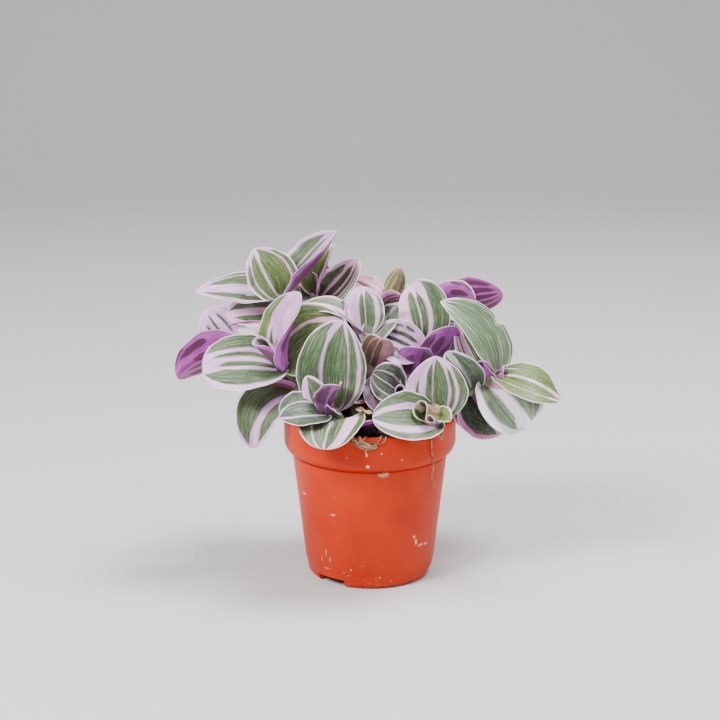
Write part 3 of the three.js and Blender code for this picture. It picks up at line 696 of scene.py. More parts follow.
    "leafy_stem_back": {"path": [(4, 32, 78), (4, 36, 92), (3, 38, 104), (2, 39, 110)], "leaves": [
        leaf(2, (-16, 49.5, 82), (-0.3, 0.8, 0.4), 26, bow=0.15),
        leaf(3, (22, 48.5, 92), (0.3, 0.8, 0.4), 26, bow=0.15),
        leaf(3, (4, 53, 130), (0, -0.7, 0.6), 24),
        leaf(1, (27, 49, 76), (0.2, 0.7, 0.6), 24, bow=0.15),
        leaf(2, (-22, 30, 108), (-0.2, 0, 1), 20, bow=0.14),
    ]},
    "leafy_stem_back_right": {"path": [(31, 12, 78), (40, 17, 92), (48, 22, 102), (54, 25, 108)], "leaves": [
        leaf(2, (88, 33, 88), (0.2, 0.4, 0.9), 28, bow=0.15),
        leaf(3, (66, 51, 108), (0.2, 0.8, 0.7), 26, bow=0.15),
        leaf(2, (72, 36, 78), (0.6, 0.6, 0.4), 24, bow=0.2),
        leaf(3, (54, 38, 133), (0.3, -0.8, 0.4), 22),
        leaf(1, (46, -2, 104), (0.2, -0.2, 1), 19, bow=0.12),
    ]},
}

leafBuild = {
    "stepsAlong": 44, "stepsAcross": 29, "thickness": 0.62, "weld": 0.001,
    "sunk": 1.25,                                 # how far a leaf's foot is behind its point
    "rolledLean": -0.12, "rolledPoint": 0.45,     # a rolled leaf's point, and its lean if its row has none
    "biteReach": 0.034, "biteSlope": 2.2,
    # waves: their pace along the leaf, their shift with its phase and with the side, and their size
    "uneven": [(17, 3, 2, 0.010), (39, 5, 1, 0.005)],
    "ripples": [(9, 1, 2, 1.0), (25, 2, 0, 0.35)],
}
stemBuild = {
    "radius": 2.35, "swell": 0.55, "sides": 18, "stepsBetween": 10, "paintLength": 6,
    "root": 9,                                    # how far a stem goes on under its first point
    "nodeReach": 0.2,                             # share of the way to the next node that a node swells
    "endShare": 0.55, "tipShare": 0.4, "tipLength": 1.2,
}


def leafTree():
    # A flat grid for each face of a leaf, at every point, is bent into the leaf that the point tells of
    tree, given, end = geometryTree("leafBlades", ("Steps Along", "Int", 40), ("Steps Across", "Int", 25),
                                    ("Thickness", "Float", 0.0006))
    grid = made(tree, "GeometryNodeMeshGrid", 0, {
        "Size X": 1.0, "Size Y": 2.0,
        "Vertices X": given["Steps Along"], "Vertices Y": given["Steps Across"]})
    high, low = (made(tree, "GeometryNodeTransform", 0, {"Geometry": grid, "Translation": (0, 0, level)})
                 for level in (1, -1))
    both = joined(tree, low, made(tree, "GeometryNodeFlipFaces", 0, {"Mesh": high}))
    # the grid's own coordinates are kept before the instances move it
    gridX, gridY, gridZ = positionHere(tree).parts()
    rowPlace = 0.5 - sums(tree, "COSINE", (gridX + 0.5) * math.pi) * 0.5
    columnPlace = sums(tree, "SINE", gridY * (math.pi / 2))
    kept = storeField(tree, both, "leafPlace", combine(tree, rowPlace, columnPlace, gridZ))
    place = made(tree, "GeometryNodeInstanceOnPoints", 0, {"Points": given["Geometry"], "Instance": kept})
    real = made(tree, "GeometryNodeRealizeInstances", 0, {"Geometry": place})

    along, across, side = namedField(tree, "leafPlace").parts()
    base, bend, tip, facing = (namedField(tree, name) for name in
                               ("leafBase", "leafBend", "leafTip", "leafFacing"))
    wide, point, wave = namedField(tree, "leafForm").parts()
    cupBase, cupTip, fold = namedField(tree, "leafHollow").parts()
    lean, curl, roll = namedField(tree, "leafTurn").parts()
    phase, rolled, grip = namedField(tree, "leafPhase").parts()
    bitePlace, biteDepth, biteSide = namedField(tree, "leafBite").parts()
    signed = sums(tree, "SIGN", across)
    size = sums(tree, "ABSOLUTE", across)
    arch = sums(tree, "SINE", along * math.pi)
    flat = 1.0 - rolled

    def waves(rows):
        return total([sums(tree, "SINE", along * pace + phase * byPhase + signed * bySide) * height
                      for pace, byPhase, bySide, height in rows])

    # the midrib, and the way up and aside from it
    rest = 1.0 - along
    middle = base * (rest * rest) + bend * (along * rest * 2.0) + tip * (along * along)
    run = ((bend - base) * rest + (tip - bend) * along).unit()
    up = (facing - run * facing.dot(run)).unit()
    aside = run.cross(up)
    # half the width here: no margin is quite even, and one leaf has a bite in it
    widest = 0.5 / (point + 0.5)
    outline = (along ** 0.5) * (sums(tree, "MAXIMUM", rest, 0.0) ** point)
    outline = outline / ((widest ** 0.5) * ((1.0 - widest) ** point))
    half = wide * 0.5 * outline
    off = sums(tree, "ABSOLUTE", along - bitePlace) / leafBuild["biteReach"]
    near = clampTo((1.0 - off) * leafBuild["biteSlope"])
    half = half * (1.0 - biteDepth * near * sums(tree, "GREATER_THAN", signed * biteSide, 0.5))
    half = half * (1.0 + waves(leafBuild["uneven"]) * flat)
    # how far a half has turned at a share of its width: hollow, rolled up, and curled at the margin
    clasp = grip * (rest ** 6.0) * flat
    turn = (cupBase + (cupTip - cupBase) * along + clasp) * flat + half / roll * rolled
    turn = turn * (1.0 + lean * signed)
    crease = fold * clampTo(along * 4.0)
    curling = curl * arch

    def angleAt(width):
        return crease + turn * width + curling * (width ** 3.0)

    # the half's curved width is summed at five places, by Gauss's rule
    root = [math.sqrt(5 - 2 * math.sqrt(10 / 7)) / 3, math.sqrt(5 + 2 * math.sqrt(10 / 7)) / 3]
    weight = [(322 + 13 * math.sqrt(70)) / 1800, (322 - 13 * math.sqrt(70)) / 1800]
    spots = [(0.5, 64 / 225)]
    spots += [(0.5 + way * root[step] / 2, weight[step]) for step in (0, 1) for way in (-1, 1)]
    angles = [(angleAt(size * spot), share) for spot, share in spots]
    out, rise = (total([sums(tree, kind, angle) * share for angle, share in angles]) * size * half
                 for kind in ("COSINE", "SINE"))
    ripple = waves(leafBuild["ripples"]) * wave * across * across * arch
    tilt = signed * angleAt(size)
    thin = sums(tree, "MAXIMUM", 1.0 - size ** 6.0, 0.0) ** 0.5 * clampTo(along * rest * 30.0)
    lifted = given["Thickness"] * 0.5 * thin * side
    spot = middle + aside * (out * signed - lifted * sums(tree, "SINE", tilt))
    spot = spot + up * (rise + ripple + lifted * sums(tree, "COSINE", tilt))
    measured = storeField(tree, real, "leafInward", half * (1.0 - size), "FLOAT")
    bent = made(tree, "GeometryNodeSetPosition", 0, {"Geometry": measured, "Position": spot})
    weld = {"Geometry": bent, "Distance": leafBuild["weld"] * mm}
    closed = made(tree, "GeometryNodeMergeByDistance", 0, weld)
    return endTree(tree, smoothFaces(tree, closed), given, end)


def stemTree():
    # A tube along the stem's points, thick where they say so, and closed at both ends
    tree, given, end = geometryTree("stemRods", ("Sides", "Int", 16))
    curve = made(tree, "GeometryNodeMeshToCurve", "Curve", {"Mesh": given["Geometry"]})
    thick = made(tree, "GeometryNodeSetCurveRadius", "Curve",
                 {"Curve": curve, "Radius": namedField(tree, "stemThick", "FLOAT")})
    ring = made(tree, "GeometryNodeCurvePrimitiveCircle", 0, {"Resolution": given["Sides"], "Radius": 1.0})
    share = made(tree, "GeometryNodeSplineParameter", "Factor")
    ringKept = storeField(tree, ring, "ringShare", share, "FLOAT")
    tube = addNode(tree, "GeometryNodeCurveToMesh",
                   {"Curve": thick, "Profile Curve": ringKept, "Fill Caps": True})
    if "Scale" in tube.inputs:
        plug(tree, tube.inputs["Scale"], made(tree, "GeometryNodeInputRadius", 0))
    parts = [namedField(tree, name, "FLOAT") for name in ("stemAlong", "ringShare", "stemNode")]
    kept = storeField(tree, Wire(tree, tube.outputs["Mesh"]), "stemPlace", combine(tree, *parts))
    return endTree(tree, smoothFaces(tree, kept), given, end)


def leafLines(leaf, path):
    # Base, bend and tip of the midrib's curve, and the way that the upper face looks
    node, tip = Vector(path[leaf["at"]]), Vector(leaf["tip"])
    way = (tip - node).normalized()
    facing = Vector(leaf["face"])
    facing = (facing - way * facing.dot(way)).normalized()
    base = node - facing * leafBuild["sunk"]
    long = (tip - base).length
    side = way.cross(facing)
    bend = (base + tip) / 2 + facing * (2 * leaf["bow"] * long) - side * (2 * leaf["sway"] * long)
    return base, bend, tip, facing


def someBands(draw):
    # A likely set of stripes for a leaf that no table row describes
    bands, place = [], -0.95
    while place < 0.8 and len(bands) < bandCount:
        half = draw.uniform(0.06, 0.26)
        bands.append((place + half, half, draw.uniform(0, 0.12), draw.uniform(0.78, 0.94)))
        place += 2 * half + draw.uniform(0.08, 0.3)
    return bands


def leafValues(leaf, path, draw):
    # What the leaf's point says: vectors of three numbers, and colours and bands of four
    base, bend, tip, facing = leafLines(leaf, path)
    point, lean, rolled = leaf["point"], leaf["lean"], leaf["roll"] > 0
    if rolled:
        # a leaf still rolled up: its right half goes round outside the left one
        point, lean = leafBuild["rolledPoint"], lean or leafBuild["rolledLean"]
        base, bend, tip = (spot - facing * leaf["roll"] for spot in (base, bend, tip))
    under, underTone = unders[leaf["under"]]
    tone = tones[leaf["tone"] or draw.choice(["sage", "deep", "silver", "sage", "lime"])]
    pale = pales[leaf["pale"] or draw.choice(["lilac", "blush", "white", "blush"])]
    bands = list(leaf["bands"] or someBands(draw))
    bands += [(0, 0, 0, 0)] * (bandCount - len(bands))
    return {
        "leafBase": base * mm, "leafBend": bend * mm, "leafTip": tip * mm, "leafFacing": facing,
        "leafForm": (leaf["wide"] * mm, point, leaf["wave"] * mm),
        "leafHollow": [math.radians(angle) for angle in (*leaf["cup"], leaf["fold"])],
        "leafTurn": (lean, math.radians(leaf["curl"]), leaf["roll"] * mm),
        "leafBite": leaf["bite"],
        "leafPhase": (leaf["tip"][0], float(rolled), math.radians(leaf["grip"])),
        "leafTone": (*tone, 1.0), "leafPale": (*pale, 1.0),
        "leafUnder": (*under, 1.0), "leafUnderTone": (*underTone, 1.0),
        **{f"band{count}": band for count, band in enumerate(bands)},
    }


def makeLeaves(name, stem, tree, material, draw):
    rows = [leafValues(leaf, stem["path"], draw) for leaf in stem["leaves"]]
    kinds = {3: "FLOAT_VECTOR", 4: "FLOAT_COLOR"}
    columns = {label: (kinds[len(value)], [row[label] for row in rows]) for label, value in rows[0].items()}
    seeds = pointObject(name + "Leaves", [(0, 0, 0)] * len(rows), attributes=columns)
    return applyTree(seeds, tree, {
        "Steps Along": leafBuild["stepsAlong"], "Steps Across": leafBuild["stepsAcross"],
        "Thickness": leafBuild["thickness"] * mm, "Finish": material}, name + "Leaves")


def catmull(nodes, steps):
    # Points on a centripetal curve through the nodes, as (place, share of the way to the next node)
    line = [nodes[0] * 2 - nodes[1]] + nodes + [nodes[-1] * 2 - nodes[-2]]
    curve = []
    for before, here, there, after in zip(line, line[1:], line[2:], line[3:]):
        first, mid, last = [max((end - start).length, 1e-6) ** 0.5
                            for start, end in ((before, here), (here, there), (there, after))]
        startSlope = ((here - before) / first - (there - before) / (first + mid) + (there - here) / mid) * mid
        endSlope = ((there - here) / mid - (after - here) / (mid + last) + (after - there) / last) * mid
        for count in range(steps):
            share = count / steps
            square, cube = share ** 2, share ** 3
            place = here * (2 * cube - 3 * square + 1) + startSlope * (cube - 2 * square + share)
            curve.append((place + there * (3 * square - 2 * cube) + endSlope * (cube - square), share))
    return curve + [(nodes[-1], 0.0)]


def makeRod(name, places, thick, near, build, material):
    # A round piece along the places, with its thickness at each and how near a node that is
    count = len(places)
    edges = [(step, step + 1) for step in range(count - 1)]
    along = [step / count * build["paintLength"] for step in range(count)]
    seeds = pointObject(name, [place * mm for place in places], edges, {
        "stemThick": ("FLOAT", thick), "stemNode": ("FLOAT", near), "stemAlong": ("FLOAT", along)})
    return applyTree(seeds, stemNodes, {"Sides": build["sides"], "Finish": material}, name)


def makeStem(name, stem, material):
    nodes = [Vector(place) for place in stem["path"]]
    line = [(nodes[0] - Vector((0, 0, depth)), 0.5) for depth in (stemBuild["root"], stemBuild["root"] / 2)]
    line += catmull(nodes, stemBuild["stepsBetween"])
    thick, near = [], []
    for index, (place, share) in enumerate(line):
        closeness = max(0.0, 1.0 - min(share, 1.0 - share) / stemBuild["nodeReach"]) if index > 2 else 0.0
        end = stemBuild["endShare"] if index == len(line) - 1 else 1.0
        thick.append((stemBuild["radius"] + stemBuild["swell"] * closeness) * mm * end)
        near.append(closeness)
    # a last point rounds the growing end off
    places = [place for place, share in line]
    places.append(nodes[-1] + (places[-1] - places[-2]).normalized() * stemBuild["tipLength"])
    thick.append(thick[-1] * stemBuild["tipShare"])
    near.append(0.5)
    return makeRod(name + "Stem", places, thick, near, stemBuild, material)


def camelName(node):
    head, *rest = node.split("_")
    return head + "".join(word.capitalize() for word in rest)


leafFinish, stemFinish = leafMaterial(), stemMaterial()
leafNodes, stemNodes = leafTree(), stemTree()
for order, (node, stem) in enumerate(leafyStems.items()):
    draw = random.Random(40 + order)
    name = camelName(node)
    leaves = makeLeaves(name, stem, leafNodes, leafFinish, draw)
    rod = makeStem(name, stem, stemFinish)
    piece = joinPieces(name, [leaves, rod])
    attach(piece, "root")
    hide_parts(node)
print("leafy stems made:", len(leafyStems))


# The pot
potBuild = {
    "height": 85.5, "rimRadius": 45, "rimDrop": 18.3, "shoulderRadius": 40.8, "waistRadius": 34.0,
    "waistHeight": 8.5, "footRadius": 30.0, "wall": 1.6, "floorUnder": 2.4, "floorTop": 4.2,
    "footWall": 3.0, "sides": 144, "smoothAngle": 32,
    "notches": (-39.5, 3, 30, 4.2),      # first angle, copies, width in degrees, height
    "reliefs": (29, 3, 42, 0.9),
    "cutReach": (-5, 8),                 # the notches' and reliefs' inner and outer reach past the foot
    "holes": (6, 3.0, 17.0),             # copies, radius, ring radius
}
# Marks on the pot's front: x, z, half width, half height, strength and kind
potMarks = [
    (-1.3, 70.7, 0.9, 0.75, 1.0, "chip"), (-2.3, 78.8, 0.35, 1.4, 0.8, "chip"),
    (-1.9, 76.6, 0.5, 0.9, 0.7, "chip"), (-3.2, 80.3, 0.3, 0.5, 0.6, "chip"),
    (6.4, 64.8, 2.9, 1.1, 0.55, "dust"), (8.6, 65.4, 1.2, 0.6, 0.5, "dust"),
    (22.8, 27.4, 0.6, 1.2, 0.7, "chip"), (23.7, 24.2, 0.7, 1.4, 0.75, "chip"),
    (26.2, 21.6, 1.5, 0.6, 0.8, "chip"), (29.0, 21.2, 1.1, 0.7, 0.7, "chip"),
    (-19.0, 40.9, 1.2, 0.5, 0.65, "chip"), (-34.2, 47.7, 0.8, 0.7, 0.6, "chip"),
    (-22.8, 18.6, 0.35, 1.9, 0.45, "dust"), (-20.6, 14.6, 0.35, 2.2, 0.45, "dust"),
    (-22.6, 9.2, 1.6, 0.4, 0.45, "dust"), (-24.9, 14.0, 0.3, 1.6, 0.4, "dust"),
    (-9.8, 11.0, 0.6, 0.6, 0.8, "grain"), (-13.5, 8.8, 0.4, 0.5, 0.7, "grain"),
    (-11.4, 7.3, 0.4, 0.4, 0.7, "grain"), (5.1, 6.8, 0.5, 0.5, 0.7, "grain"),
    (10.9, 4.4, 0.5, 0.4, 0.7, "grain"), (16.0, 73.5, 0.4, 0.3, 0.6, "chip"),
    (-12.0, 75.0, 0.35, 0.3, 0.5, "chip"), (5.5, 77.5, 0.5, 0.4, 0.6, "chip"),
]
markColors = {"chip": (0.86, 0.66, 0.56), "dust": (0.80, 0.45, 0.34), "grain": (0.50, 0.40, 0.24)}


def potOutline(build):
    # Radius and height, from the axis under the floor out, up and back to the axis inside
    band, top = build["height"] - build["rimDrop"], build["height"]
    rim, wall, foot, waist, shoulder = (build[key] for key in
                                        ("rimRadius", "wall", "footRadius", "waistRadius", "shoulderRadius"))
    under, inside, step = build["floorUnder"], build["floorTop"], build["waistHeight"]
    return [
        (0, under), (foot - build["footWall"] - 0.4, under), (foot - build["footWall"], 0), (foot, 0),
        (foot + 1.0, 0.4), (foot + 1.8, 0.9), (foot + 2.6, 2.0), (foot + 3.0, 3.4), (waist - 0.7, step - 1),
        (waist - 0.25, step - 0.35), (waist, step), (shoulder - 0.15, band - 1.5),
        (shoulder - 0.6, band - 1.15), (shoulder - 0.65, band - 0.5), (shoulder + 0.1, band - 0.1),
        (shoulder + 0.5, band + 0.1), (rim - 2.6, band + 0.4), (rim - 1.7, band + 0.9),
        (rim - 1.0, band + 1.9), (rim - 0.4, band + 3.3), (rim, band + 5), (rim, top - 1),
        (rim - 0.12, top - 0.4), (rim - 0.5, top), (rim - wall + 0.15, top), (rim - wall - 0.15, top - 0.2),
        (rim - wall - 0.5, top - 0.8), (rim - wall - 0.4, band + 6), (shoulder - wall, band + 0.5),
        (waist - wall, step), (foot + 0.6, inside), (0, inside),
    ]


def onCircle(radius, angle, height):
    return (radius * mm * math.cos(angle), radius * mm * math.sin(angle), height * mm)


def latheMesh(name, outline, sides):
    # The outline turned about Z, with a single point at each end on the axis
    spots, faces, rings = [], [], []
    for radius, height in outline:
        points = 1 if radius == 0 else sides
        rings.append(list(range(len(spots), len(spots) + points)))
        spots += [onCircle(radius, 2 * math.pi * count / sides, height) for count in range(points)]
    for lower, upper in zip(rings, rings[1:]):
        for count in range(sides):
            after = (count + 1) % sides
            if len(lower) == 1:
                faces.append((lower[0], upper[after], upper[count]))
            elif len(upper) == 1:
                faces.append((lower[count], lower[after], upper[0]))
            else:
                faces.append((lower[count], lower[after], upper[after], upper[count]))
    return meshObject(name, spots, faces)


def wedgeObject(angle, width, height, inner, outer):
    # A sector of a ring, from under the pot up to the given height
    steps = 12
    turns = [math.radians(angle - 90 - width / 2 + width * count / steps) for count in range(steps + 1)]
    spots = [onCircle(radius, turn, level) for turn in turns for radius in (inner, outer)
             for level in (-1.0, height)]
    faces = [(0, 1, 3, 2)]
    for here in range(0, 4 * steps, 4):
        there = here + 4
        faces += [(here, here + 2, there + 2, there), (here + 1, there + 1, there + 3, here + 3),
                  (here, there, there + 1, here + 1), (here + 2, here + 3, there + 3, there + 2)]
    faces.append((there, there + 2, there + 3, there + 1))
    wedge = meshObject("wedge", spots, faces)
    editMesh(wedge.data, lambda work: bmesh.ops.recalc_face_normals(work, faces=work.faces))
    return wedge


def rodObject(x, y, low, high, radius, sides=24):
    def change(work):
        bmesh.ops.create_cone(work, cap_ends=True, segments=sides, radius1=radius * mm, radius2=radius * mm,
                              depth=(high - low) * mm)
        bmesh.ops.translate(work, verts=work.verts, vec=(x * mm, y * mm, (low + high) / 2 * mm))

    rod = meshObject("rod", [], [])
    editMesh(rod.data, change)
    return rod


def cutAway(body, tool):
    cutter = body.modifiers.new("cut", "BOOLEAN")
    cutter.operation = "DIFFERENCE"
    cutter.solver = "EXACT"
    cutter.object = tool
    mesh = evaluatedMesh(body)
    body.modifiers.remove(cutter)
    body.data = mesh
    bpy.data.objects.remove(tool)


def potMaterial():
    material, tree, shader = newMaterial("potPlastic")
    point = objectPoint(tree)
    x, y, z = point.parts()
    broad = noiseAt(tree, point, 38.0, 3.0, 0.55)
    fine = noiseAt(tree, point, 900.0, 3.0, 0.6)
    speck = noiseAt(tree, point, 420.0, 2.0, 0.5)
    angle = sums(tree, "ARCTAN2", y, x)
    drag = noiseAt(tree, combine(tree, angle * 40.0, z * 90.0, 0.0), 1.0, 3.0, 0.6)
    low = 1.0 - smoothStep(z + (broad - 0.5) * 0.02, 0.0, 0.022)
    color = blendColor(tree, smoothStep(broad, 0.32, 0.68), (0.490, 0.022, 0.000), (0.565, 0.031, 0.000))
    color = blendColor(tree, smoothStep(drag, 0.55, 0.8) * 0.2, color, (0.680, 0.060, 0.008))
    color = blendColor(tree, low * smoothStep(speck, 0.56, 0.66) * 0.16, color, (0.620, 0.200, 0.090))
    color = blendColor(tree, smoothStep(speck, 0.735, 0.78) * 0.3, color, (0.780, 0.380, 0.240))
    ragged = (noiseAt(tree, point, 1500.0, 4.0, 0.8) - 0.5) * 2.6
    ragged = ragged + (noiseAt(tree, point, 600.0, 2.0, 0.6) - 0.5) * 1.8
    front = sums(tree, "LESS_THAN", y, 0.0)
    marked = 0.0
    for markX, markZ, wide, high, strength, kind in potMarks:
        across = (x - markX * mm) / (wide * mm)
        rising = (z - markZ * mm) / (high * mm)
        spread = (across * across + rising * rising) ** 0.5 + ragged
        mask = (1.0 - smoothStep(spread, 0.55, 1.2)) * front * strength
        color = blendColor(tree, mask, color, markColors[kind])
        marked = sums(tree, "MAXIMUM", marked, mask)
    roughness = 0.33 + broad * 0.14 + fine * 0.06 + marked * 0.3
    giveSurface(tree, shader, color, roughness, fine + broad * 0.6 + marked * 1.5, 0.25, 0.3)
    shader.inputs["Specular IOR Level"].default_value = 0.16
    return material


def makePot():
    build = potBuild
    pot = latheMesh("nurseryPot", potOutline(build), build["sides"])
    inner, outer = (build["footRadius"] + reach for reach in build["cutReach"])
    for first, copies, width, height in (build["notches"], build["reliefs"]):
        for count in range(copies):
            cutAway(pot, wedgeObject(first + count * 360 / copies, width, height, inner, outer))
    copies, radius, ring = build["holes"]
    for count in range(copies):
        turn = 2 * math.pi * count / copies
        cutAway(pot, rodObject(ring * math.cos(turn), ring * math.sin(turn), 0.5, 6.0, radius))
    # faces without area that the cuts leave behind go
    editMesh(pot.data, lambda work: bmesh.ops.dissolve_degenerate(work, dist=0.001 * mm, edges=work.edges))
    pot.data.materials.clear()
    pot.data.materials.append(potMaterial())
    return pot


pot = makePot()
smoothByAngle(pot, potBuild["smoothAngle"])
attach(pot, "root")
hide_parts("pot")
print("pot made:", len(pot.data.polygons), "faces")


# The soil
soilBuild = {
    "top": 78, "crown": 1.6, "gap": 0.35, "sides": 96, "crumbs": 2600, "crumbSize": (0.5, 1.9), "seed": 5,
    "rings": [1, 0.97, 0.92, 0.86, 0.78, 0.7, 0.6, 0.5, 0.4, 0.3, 0.2, 0.1, 0],   # shares of the top's radius
}


def soilMaterial():
    material, tree, shader = newMaterial("pottingMix")
    point = objectPoint(tree)
    clump = noiseAt(tree, point, 220.0, 4.0, 0.65)
    grit = noiseAt(tree, point, 1100.0, 2.0, 0.6)
    color = blendColor(tree, smoothStep(clump, 0.35, 0.65), (0.010, 0.007, 0.005), (0.034, 0.022, 0.014))
    color = blendColor(tree, smoothStep(grit, 0.66, 0.72) * 0.5, color, (0.120, 0.080, 0.045))
    giveSurface(tree, shader, color, 0.78 + clump * 0.2, clump + grit * 0.3, 0.8, 1.5)
    return material


def clodHeight(x, y):
    clods = math.sin(x * 0.55 + 1.3) * math.cos(y * 0.48) + 0.6 * math.sin(x * 0.21 - y * 0.37 + 2)
    lumps = math.sin(x * 2.1 + y * 1.3) * math.cos(y * 2.4 - x * 0.7)
    return 1.1 * clods + 0.35 * lumps


def soilTree():
    # Crumbs scattered over the top of the soil
    tree, given, end = geometryTree(
        "soilCrumbs", ("Crumbs per m2", "Float", 500000.0), ("Smallest", "Float", 0.0005),
        ("Largest", "Float", 0.002), ("Seed", "Int", 1))
    upward = made(tree, "GeometryNodeInputNormal", 0, form=Arrow).parts()[2]
    height = positionHere(tree).parts()[2]
    onTop = sums(tree, "GREATER_THAN", upward, 0.5) * sums(tree, "GREATER_THAN", height, 0.07)
    seed = given["Seed"]
    scatter = made(tree, "GeometryNodeDistributePointsOnFaces", "Points", {
        "Mesh": given["Geometry"], "Density": given["Crumbs per m2"], "Seed": seed, "Selection": onTop})
    ball = made(tree, "GeometryNodeMeshIcoSphere", "Mesh", {"Radius": 1.0, "Subdivisions": 1})
    form, turn = (made(tree, "FunctionNodeRandomValue", 0, {0: low, 1: high, "Seed": seed}, Arrow,
                       data_type="FLOAT_VECTOR")
                  for low, high in (((0.6, 0.6, 0.4), (1.3, 1.1, 0.9)), ((0, 0, 0), (6.28, 6.28, 6.28))))
    # inputs 0 and 1 and output 0 are this node's for a vector, 2 and 3 and 1 those for a number
    sizes = {2: given["Smallest"], 3: given["Largest"], "Seed": seed}
    scale = made(tree, "FunctionNodeRandomValue", 1, sizes, data_type="FLOAT")
    place = made(tree, "GeometryNodeInstanceOnPoints", 0,
                 {"Points": scatter, "Instance": ball, "Rotation": turn, "Scale": form * scale})
    real = made(tree, "GeometryNodeRealizeInstances", 0, {"Geometry": place})
    return endTree(tree, joined(tree, given["Geometry"], real), given, end)


def makeSoil():
    build, pot = soilBuild, potBuild
    band = pot["height"] - pot["rimDrop"]
    gap, wall, top, crown = build["gap"], pot["wall"], build["top"], build["crown"]
    edge = pot["rimRadius"] - wall - 0.5 - gap - 1.2      # it clears the rim's inner lip
    outline = [(0, pot["floorTop"] + gap), (pot["footRadius"] - 1, pot["floorTop"] + gap),
               (pot["waistRadius"] - wall - gap, pot["waistHeight"] + 1),
               (pot["shoulderRadius"] - wall - gap, band), (edge, band + 7)]
    outline += [(edge * share, top + crown * (1 - share * share)) for share in build["rings"]]
    body = latheMesh("pottingSoil", outline, build["sides"])
    for vertex in body.data.vertices:
        x, y, z = (part / mm for part in vertex.co)
        inside = 1 - math.hypot(x, y) / edge
        if z > top and inside > 0.01:
            vertex.co.z += clodHeight(x, y) * min(1, inside * 4) * mm
    smallest, largest = (size / 2 * mm for size in build["crumbSize"])
    area = math.pi * (edge * mm) ** 2
    return applyTree(body, soilTree(), {
        "Crumbs per m2": build["crumbs"] / area, "Smallest": smallest, "Largest": largest,
        "Seed": build["seed"], "Finish": soilMaterial()}, "pottingSoil")


soil = makeSoil()
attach(soil, "root")
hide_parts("soil")
print("soil made:", len(soil.data.polygons), "faces")


# Dried scraps and fibres on the soil and rim, and one root over the rim
strandBuild = {"sides": 8, "stepsBetween": 8, "paintLength": 1,
               "taper": 0.55, "swell": 0.18, "swellPace": 2.3}
looseStrands = {
    "hangingRoot": {"thick": 0.42, "points": [
        (28.5, -29.5, 80.0), (29.6, -32.4, 84.6), (30.4, -33.9, 85.4), (30.9, -34.3, 82.0),
        (31.2, -33.2, 75.0), (31.9, -31.0, 69.5), (32.4, -28.2, 65.0), (31.6, -26.6, 60.0),
        (32.2, -25.5, 56.0), (33.2, -24.0, 52.8)]},
    "rimFibreOne": {"thick": 0.6, "points": [
        (-11.0, -41.0, 80.6), (-9.4, -43.4, 85.9), (-7.6, -45.2, 84.6), (-5.2, -45.4, 82.0),
        (-1.2, -45.6, 81.0), (2.2, -45.5, 81.2), (4.4, -44.6, 84.2), (5.6, -42.6, 86.1),
        (7.0, -40.4, 82.0)]},
    "rimFibreTwo": {"thick": 0.45, "points": [
        (-7.2, -39.6, 80.4), (-5.6, -43.0, 85.9), (-4.2, -45.3, 84.0), (-0.6, -45.7, 82.4),
        (3.0, -45.4, 82.6), (5.2, -44.2, 85.6), (4.2, -41.0, 84.6), (2.0, -39.0, 81.0)]},
    "rimFibreThree": {"thick": 0.36, "points": [
        (-3.0, -38.6, 80.6), (-2.2, -42.4, 85.8), (-3.6, -45.0, 84.8), (-6.2, -45.3, 83.4),
        (-8.8, -44.6, 84.8), (-10.2, -42.2, 86.0), (-8.0, -39.4, 81.6)]},
    "rimFibreFour": {"thick": 0.5, "points": [
        (-12.4, -38.4, 81.0), (-10.2, -42.6, 85.9), (-8.0, -45.2, 83.2), (-4.4, -45.6, 80.8),
        (0.6, -45.8, 80.2), (3.4, -45.6, 81.6), (2.2, -45.2, 83.4), (-2.4, -45.2, 83.0),
        (-5.6, -44.4, 85.2)]},
    "rimFibreFive": {"thick": 0.3, "points": [
        (6.8, -40.6, 82.0), (7.8, -43.2, 86.0), (7.2, -45.0, 84.4), (3.8, -45.6, 82.8), (-1.0, -45.7, 81.8),
        (-6.4, -45.5, 81.4), (-9.6, -44.6, 83.2), (-12.6, -43.4, 84.6), (-14.0, -41.6, 86.0),
        (-13.0, -38.6, 82.0)]},
    "soilFibreOne": {"thick": 0.22, "points": [
        (2.0, -37.0, 80.4), (6.5, -34.2, 82.6), (10.5, -35.4, 81.6), (14.0, -32.8, 80.8),
        (16.0, -30.0, 80.6)]},
    "soilFibreTwo": {"thick": 0.24, "points": [
        (-12.0, -34.0, 80.2), (-7.0, -30.5, 82.4), (-1.0, -31.5, 82.0), (4.5, -28.0, 81.0),
        (7.0, -24.0, 80.8)]},
    "soilFibreThree": {"thick": 0.2, "points": [
        (18.0, 27.0, 80.2), (12.0, 31.0, 81.8), (5.0, 29.0, 81.4), (-3.0, 33.0, 80.6)]},
}
driedScraps = {
    "path": [(-7.0, -45.2, 84.2), (33.0, -30.5, 85.2), (-20.0, 22.0, 81.0), (9.0, 30.0, 81.0),
             (-8.0, -33.0, 81.5), (-7.2, -31.0, 98.0)],
    "leaves": [
        leaf(0, (2.0, -45.7, 80.6), (0.1, -0.95, 0.2), 3.2, cup=(60, 40), bow=0.05, wave=0.5),
        leaf(1, (36.5, -34.0, 81.5), (0.4, -0.7, 0.5), 4, cup=(90, 70), bow=0.2, wave=0.6),
        leaf(2, (-30, 25, 83), (0, 0, 1), 6, cup=(70, 50), bow=0.15, wave=0.8),
        leaf(3, (19, 26, 83), (0, 0, 1), 5, cup=(70, 50), bow=0.15, wave=0.8),
        leaf(4, (-14, -30, 83), (0, 0, 1), 4, cup=(90, 60), bow=0.15, wave=0.6),
        leaf(5, (1.4, -33.0, 95.4), (0, -0.3, 0.9), 4.4, cup=(90, 60), bow=-0.1, wave=0.8),
    ],
}


